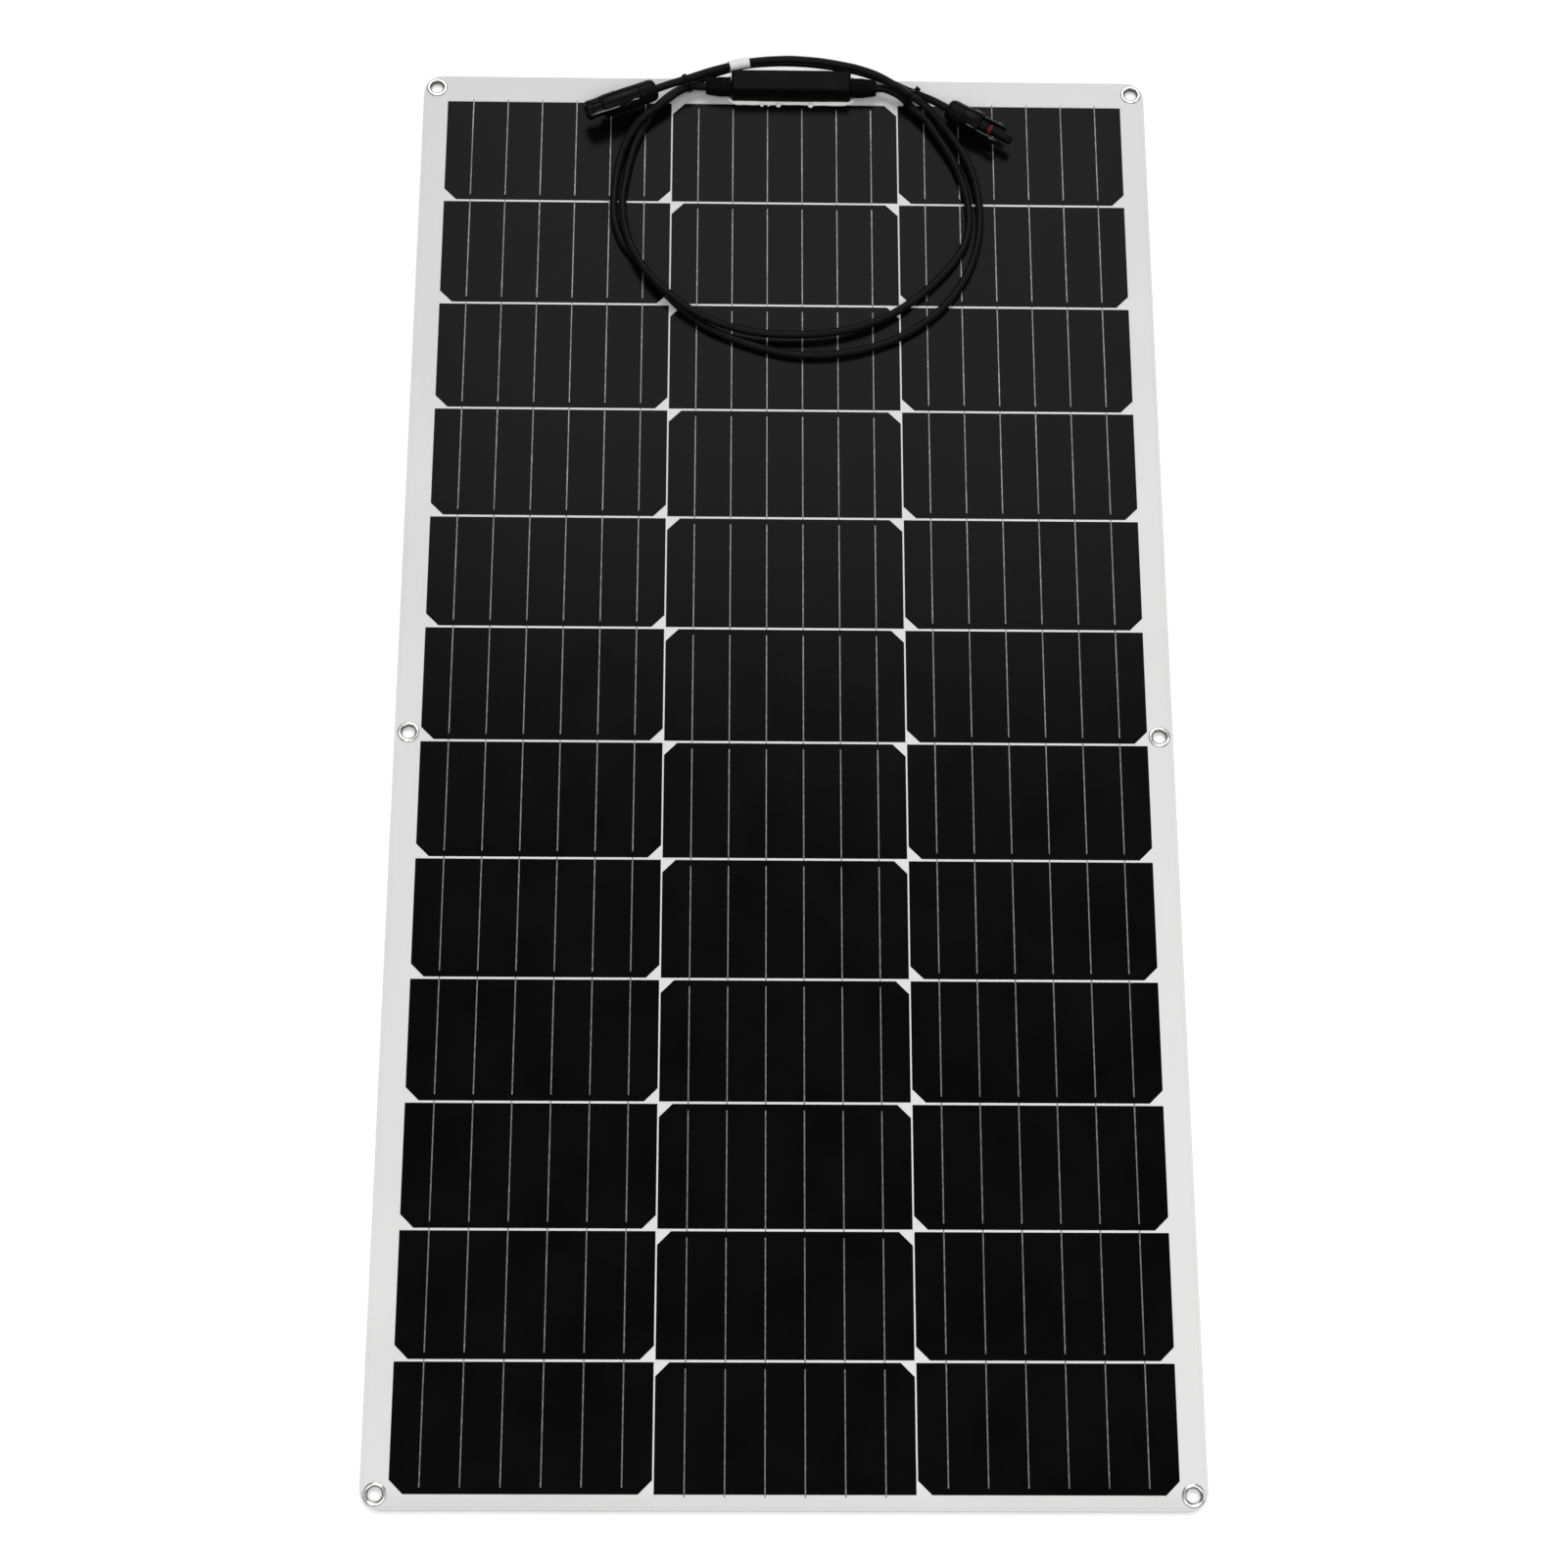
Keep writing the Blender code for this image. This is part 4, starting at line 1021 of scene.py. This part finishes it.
# Eyelets
def eyelet_piece(name, place):
    """A rolled barrel with a domed flange at each face of the sheet."""
    hole, barrel, flange, rise = eyelet_hole, eyelet_barrel, eyelet_flange, eyelet_rise
    top = film_top + seat_gap
    crown = top + rise
    profile = [(barrel, rise), (barrel, top), (flange - 0.0002, top), (flange, top + 0.00014),
               (flange - 0.0001, top + 0.0003), (flange - 0.0004, crown - 0.00014),
               (flange - 0.0008, crown - 0.00003), (flange - 0.0012, crown), (hole + 0.0009, crown - 0.00006),
               (hole + 0.0005, crown - 0.0002), (hole + 0.0002, crown - 0.00046),
               (hole + 0.00005, crown - 0.0008), (hole, crown - 0.0012), (hole, 0.0007),
               (hole + 0.00008, 0.0003), (hole + 0.0003, 0.00008), (hole + 0.0007, 0.0),
               (flange - 0.0008, 0.0), (flange - 0.0002, 0.00012), (flange, 0.00032), (flange - 0.0002, rise)]
    shape = bmesh.new()
    loft(shape, [circle(radius, along, eyelet_steps) for radius, along in profile], closed=True)
    keep_rest_map(shape)
    return piece(f"eyelet_ring_{name}", shape, nickel, place=Matrix.Translation((place.x, place.y, 0.0)))


for name, place in eyelet_places.items():
    ride_on(eyelet_piece(name, place), f"{name.split('_')[0]}_strip", "nickel", f"eyelet_{name}")


# Junction box
def box_part(name, low, high, levels):
    """The base or the lid, from the inset of its outline at each level."""
    shape = bmesh.new()
    loft(shape, [rounded_ring(low, high, box_corner, z, inset) for z, inset in levels])
    return ride_on(piece(f"box_{name}", shape, box_black), "far_strip", "box_black", f"junction_box_{name}")


# The base is a tray with an eased foot, and the lid a hollow cap with a round rim; each has half of the seam
box_part("base", base_low, base_high, [
    (base_low.z, box_foot), (base_low.z + box_foot, 0.0), (base_high.z - seam_half, 0.0),
    (base_high.z, seam_depth), (base_high.z, box_wall), (base_low.z + box_wall, box_wall),
])
box_part("lid", lid_low, lid_high, [
    (lid_high.z - box_wall, 2 * box_wall), (lid_low.z, 2 * box_wall), (lid_low.z, seam_depth),
    (lid_low.z + seam_half, 0.0),
    *[(lid_high.z - lid_round + rise, inset) for inset, rise in quarter(lid_round, 8)],
])


def blob(shape, centre, radii, turn=0.0):
    """A smooth drop with three radii, turned about Z."""
    place = Matrix.LocRotScale(centre, Matrix.Rotation(turn, 3, "Z").to_quaternion(), radii)
    bmesh.ops.create_icosphere(shape, subdivisions=3, radius=1.0, matrix=place)


def sealant_piece():
    """The bed under the box, its uneven bead along the front, and the drops that ran out of it."""
    bottom = film_top + seat_gap
    bed_top = base_low.z - seat_gap
    front = base_low.y
    length = base_high.x - base_low.x
    shape = bmesh.new()
    low = Vector((base_low.x + bed_inset, front, 0.0))
    high = Vector((base_high.x - bed_inset, base_high.y - bed_setback, 0.0))
    loft(shape, [rounded_ring(low, high, box_corner, z) for z in (bottom, bed_top)])
    rings = []
    middle_x = (base_low.x + base_high.x) / 2
    long_wave, short_wave = bead_waves
    for i in range(bead_steps + 1):
        x = base_low.x + bead_end + (length - 2 * bead_end) * i / bead_steps
        wave = noise.noise(Vector((x * long_wave, 0.0, 0.0)))
        wave += 0.5 * noise.noise(Vector((x * short_wave, 3.0, 0.0)))
        # The bead is thinner at both ends, and lower round its middle
        close = min(1.0, i / bead_close, (bead_steps - i) / bead_close)
        aside = min(1.0, 2.6 * abs(x - middle_x) / length)
        width = (bead_width + bead_ripple * wave) * (0.45 + 0.55 * close) * (0.80 + 0.20 * aside)
        height = (bead_height + 0.5 * bead_ripple * wave) * (0.6 + 0.4 * close) * (0.65 + 0.55 * aside)
        ring = [Vector((x, front + bead_tuck, bottom)), Vector((x, front + bead_tuck, bed_top))]
        for step in range(bead_round + 1):
            angle = math.radians(90 + 90 * step / bead_round)
            y = front - seat_gap + width * math.cos(angle)
            ring.append(Vector((x, y, bottom + height * math.sin(angle))))
        rings.append(ring)
    loft(shape, rings)
    for x, radius in bead_drops:
        blob(shape, (x, front - bead_width - 0.2 * radius, bottom + 0.45 * radius),
             (1.15 * radius, radius, 0.7 * radius))
    for x, out in ((base_low.x, -1), (base_high.x, 1)):
        blob(shape, (x + 0.0002 * out, front + 0.0004, bottom + 0.0005), corner_smear, out * corner_slant)
    return piece("sealant_bead", shape, silicone_white, sharp=50.0)


ride_on(sealant_piece(), "far_strip", "silicone_white", "box_sealant")


def gland_piece(side):
    """A strain relief: a flange on the box, a ribbed collar, a faceted nut and a taper down to the cable."""
    sections = [
        (0.0003, 0.0036), (0.0003, 0.0067), (0.0005, 0.0070), (0.0020, 0.0070), (0.0022, 0.0066),
        (0.0027, 0.0066), (0.0030, 0.0069, 1.0), (0.0089, 0.0069, 1.0), (0.0094, 0.0067, 0.5),
        (0.0100, 0.0065), (0.0132, 0.0061), (0.0160, 0.0057), (0.0173, 0.0053), (0.0179, 0.0048),
        (0.0180, 0.0040), (0.0178, 0.0030), (0.0140, 0.0030), (0.0003, 0.0030),
    ]
    wall = base_low.x if side == "left" else base_high.x
    turn = Matrix.Rotation(math.radians(-90 if side == "left" else 90), 4, "Y")
    place = Matrix.Translation((wall, gland_middle, gland_level)) @ turn
    return turned_piece(f"gland_{side}", box_black, place, sections, facet_steps * gland_facets, gland_facets,
                        gland_facet_depth)


for side in ("left", "right"):
    ride_on(gland_piece(side), "far_strip", "box_black", f"cable_gland_{side}")


# Connectors
def nut_piece(name, place):
    """A gland nut: a rounded rear, grip flutes round its side, and a bore for the cable."""
    sections = [
        (0.0007, 0.0030), (0.0, 0.0034), (0.0001, 0.0048), (0.0007, 0.0061), (0.0018, 0.0071, 0.2),
        (0.0032, 0.0076, 0.7), (0.0046, 0.0078, 1.0), (0.0122, 0.0078, 1.0), (0.0128, 0.0078, 0.4),
        (0.0130, 0.0076), (0.0130, 0.0030),
    ]
    return turned_piece(name, connector_black, place, sections, flute_steps * nut_flutes, nut_flutes,
                        nut_flute_depth)


def rail(shape, stations, finish):
    """A thin rail with a level top; each station has its place along, inner side, outer side and top."""
    rings = []
    for along, inner, outer, top in stations:
        foot = top - rail_height
        eased = outer - math.copysign(rail_ease, outer)
        corners = (inner, foot), (eased, foot), (outer, top - rail_ease), (eased, top), (inner, top)
        rings.append([Vector((across, up, along)) for across, up in corners])
    loft(shape, rings, finish=finish)


def gloss_rail(shape, stations, out, width):
    """A glossy rail on one side; each station has its place along, its outer side and its top."""
    rail(shape, [(along, out * (outer - width), out * outer, top) for along, outer, top in stations], 1)


def socket_body(place):
    """The socket's housing: a tapered body, a sleeve with a collar at its mouth, and rails on both sides."""
    sections = [
        (body_start, 0.0060), (body_start, 0.0076), (body_start + 0.0003, 0.0078),
        (0.0240, 0.0078, 0.0078, 2.2), (0.0380, 0.0076, 0.0076, 2.3), (0.0394, 0.0074, 0.0074, 2.2),
        (0.0401, 0.0067), (0.0406, 0.0057), (0.0412, 0.0053), (0.0470, 0.0053), (0.0474, 0.0057),
        (0.0480, 0.0059), (0.0512, 0.0059), (0.0518, 0.0056), (0.0520, 0.0052), (0.0518, 0.0046),
        (0.0510, 0.0044), (0.0300, 0.0043),
    ]
    shape = bmesh.new()
    loft(shape, [oval(*section) for section in sections])
    guide = [(0.0285, 0.0066, 0.0046), (0.0292, 0.0070, 0.0050), (0.0380, 0.0069, 0.0049),
             (0.0420, 0.0065, 0.0047), (0.0496, 0.0064, 0.0045), (0.0510, 0.0060, 0.0042)]
    lip = [(0.0150, 0.0064, 0.0054), (0.0172, 0.0064, 0.0058), (0.0190, 0.0064, 0.0058),
           (0.0212, 0.0067, 0.0053), (0.0232, 0.0071, 0.0047), (0.0245, 0.0071, 0.0045)]
    for out in (1, -1):
        gloss_rail(shape, guide, out, strip_width)
        rail(shape, [(along, out * web_inner, out * (outer - strip_width / 2), top - web_drop)
                     for along, outer, top in guide], 0)
    gloss_rail(shape, lip, 1, strip_width)
    return piece("socket_body", shape, connector_black, connector_gloss, place=place)


def plug_body(place):
    """The plug's housing: a rounded body, shoulders for the latch arms, a seal seat and a slender barrel."""
    sections = [
        (body_start, 0.0060), (body_start, 0.0075), (body_start + 0.0003, 0.0077),
        (0.0180, 0.0075, 0.0074, 2.6), (0.0246, 0.0075, 0.0072, 2.8), (0.0257, 0.0073, 0.0069, 2.7),
        (plug_body_end, 0.0068, 0.0064, 2.6), (plug_body_end, 0.0046), (0.0266, 0.0043), (0.0316, 0.0040),
        (0.0320, 0.0031), (0.0380, 0.0030), (0.0490, 0.0030), (0.0500, 0.0028), (0.0503, 0.0026),
        (0.0503, 0.0023), (0.0430, 0.0022),
    ]
    shape = bmesh.new()
    loft(shape, [oval(*section) for section in sections])
    ridge = [(0.0175, 0.0068, 0.0040), (0.0186, 0.0072, 0.0046), (0.0250, 0.0071, 0.0044),
             (0.0258, 0.0067, 0.0040)]
    for out in (1, -1):
        gloss_rail(shape, ridge, out, 2 * strip_width)
    return piece("plug_body", shape, connector_black, connector_gloss, place=place)


def arm_piece(side, place):
    """A springy latch arm with a ramped barb at its tip."""
    out = 1 if side == "left" else -1
    sections = [
        (0.0, arm_inner - 0.0003, arm_outer + 0.0003, 1.0), (0.0012, arm_inner, arm_outer, 1.0),
        (0.0100, arm_inner + 0.0001, arm_outer, 0.94), (0.0104, arm_inner + 0.0001, arm_outer + 0.0012, 0.94),
        (0.0114, arm_inner + 0.0001, arm_outer + 0.0011, 0.94),
        (0.0160, arm_inner + 0.0002, arm_outer + 0.0001, 0.86),
        (arm_length, arm_inner + 0.0004, arm_outer - 0.0003, 0.78),
    ]
    shape = bmesh.new()
    rings = []
    for along, inner, outer, share in sections:
        half = arm_half_width * share
        ring = rounded_ring((inner, -half), (outer, half), arm_corner, plug_body_end + arm_gap + along)
        rings.append([Vector((out * point.x, point.y, point.z)) for point in ring])
    loft(shape, rings)
    return piece(f"latch_{side}", shape, latch_black, place=place)


def seal_piece(place):
    """A soft seal with two round ridges."""
    flank = seal_ridge - seal_round
    front = [(0.12, seal_groove), (0.35, flank), (0.6, seal_ridge), (0.85, flank), (1.0, seal_groove),
             (1.0, seal_inner)]
    profile = [(-share, radius) for share, radius in front[::-1]] + front
    sections = [(seal_place + share * seal_half, radius) for share, radius in profile]
    return turned_piece("seal_ring", seal_red, place, sections, seal_steps)


socket = ride_on(socket_body(socket_place), "far_strip", "connector_black", "socket_housing")
socket_gland_nut = ride_on(nut_piece("socket_gland_nut", socket_place), "socket_nut", "connector_black",
                           "socket_nut")
plug = ride_on(plug_body(plug_place), "far_strip", "connector_black", "plug_housing")
plug_gland_nut = ride_on(nut_piece("plug_gland_nut", plug_place), "plug_nut", "connector_black", "plug_nut")
seal = ride_on(seal_piece(plug_place), "far_strip", "seal_red", "plug_sealing_ring")
arms = [ride_on(arm_piece(side, plug_place), f"latch_arm_{side}", "connector_black", f"latch_arm_{side}")
        for side in ("left", "right")]

nodes = frame["nodes"]

# Nodes that stay as they are
kept_finishes = {
    "bypass_diode": box_black,
    "lead_ribbon_left": tinned, "lead_ribbon_right": tinned, "socket_contact": tinned, "plug_contact": tinned,
}
for name, finish in kept_finishes.items():
    for place in nodes[name].material_slots:
        place.material = finish

# Floor
shape = bmesh.new()
bmesh.ops.create_grid(shape, x_segments=8, y_segments=8, size=floor_half)
floor = piece("floor", shape, floor_white)
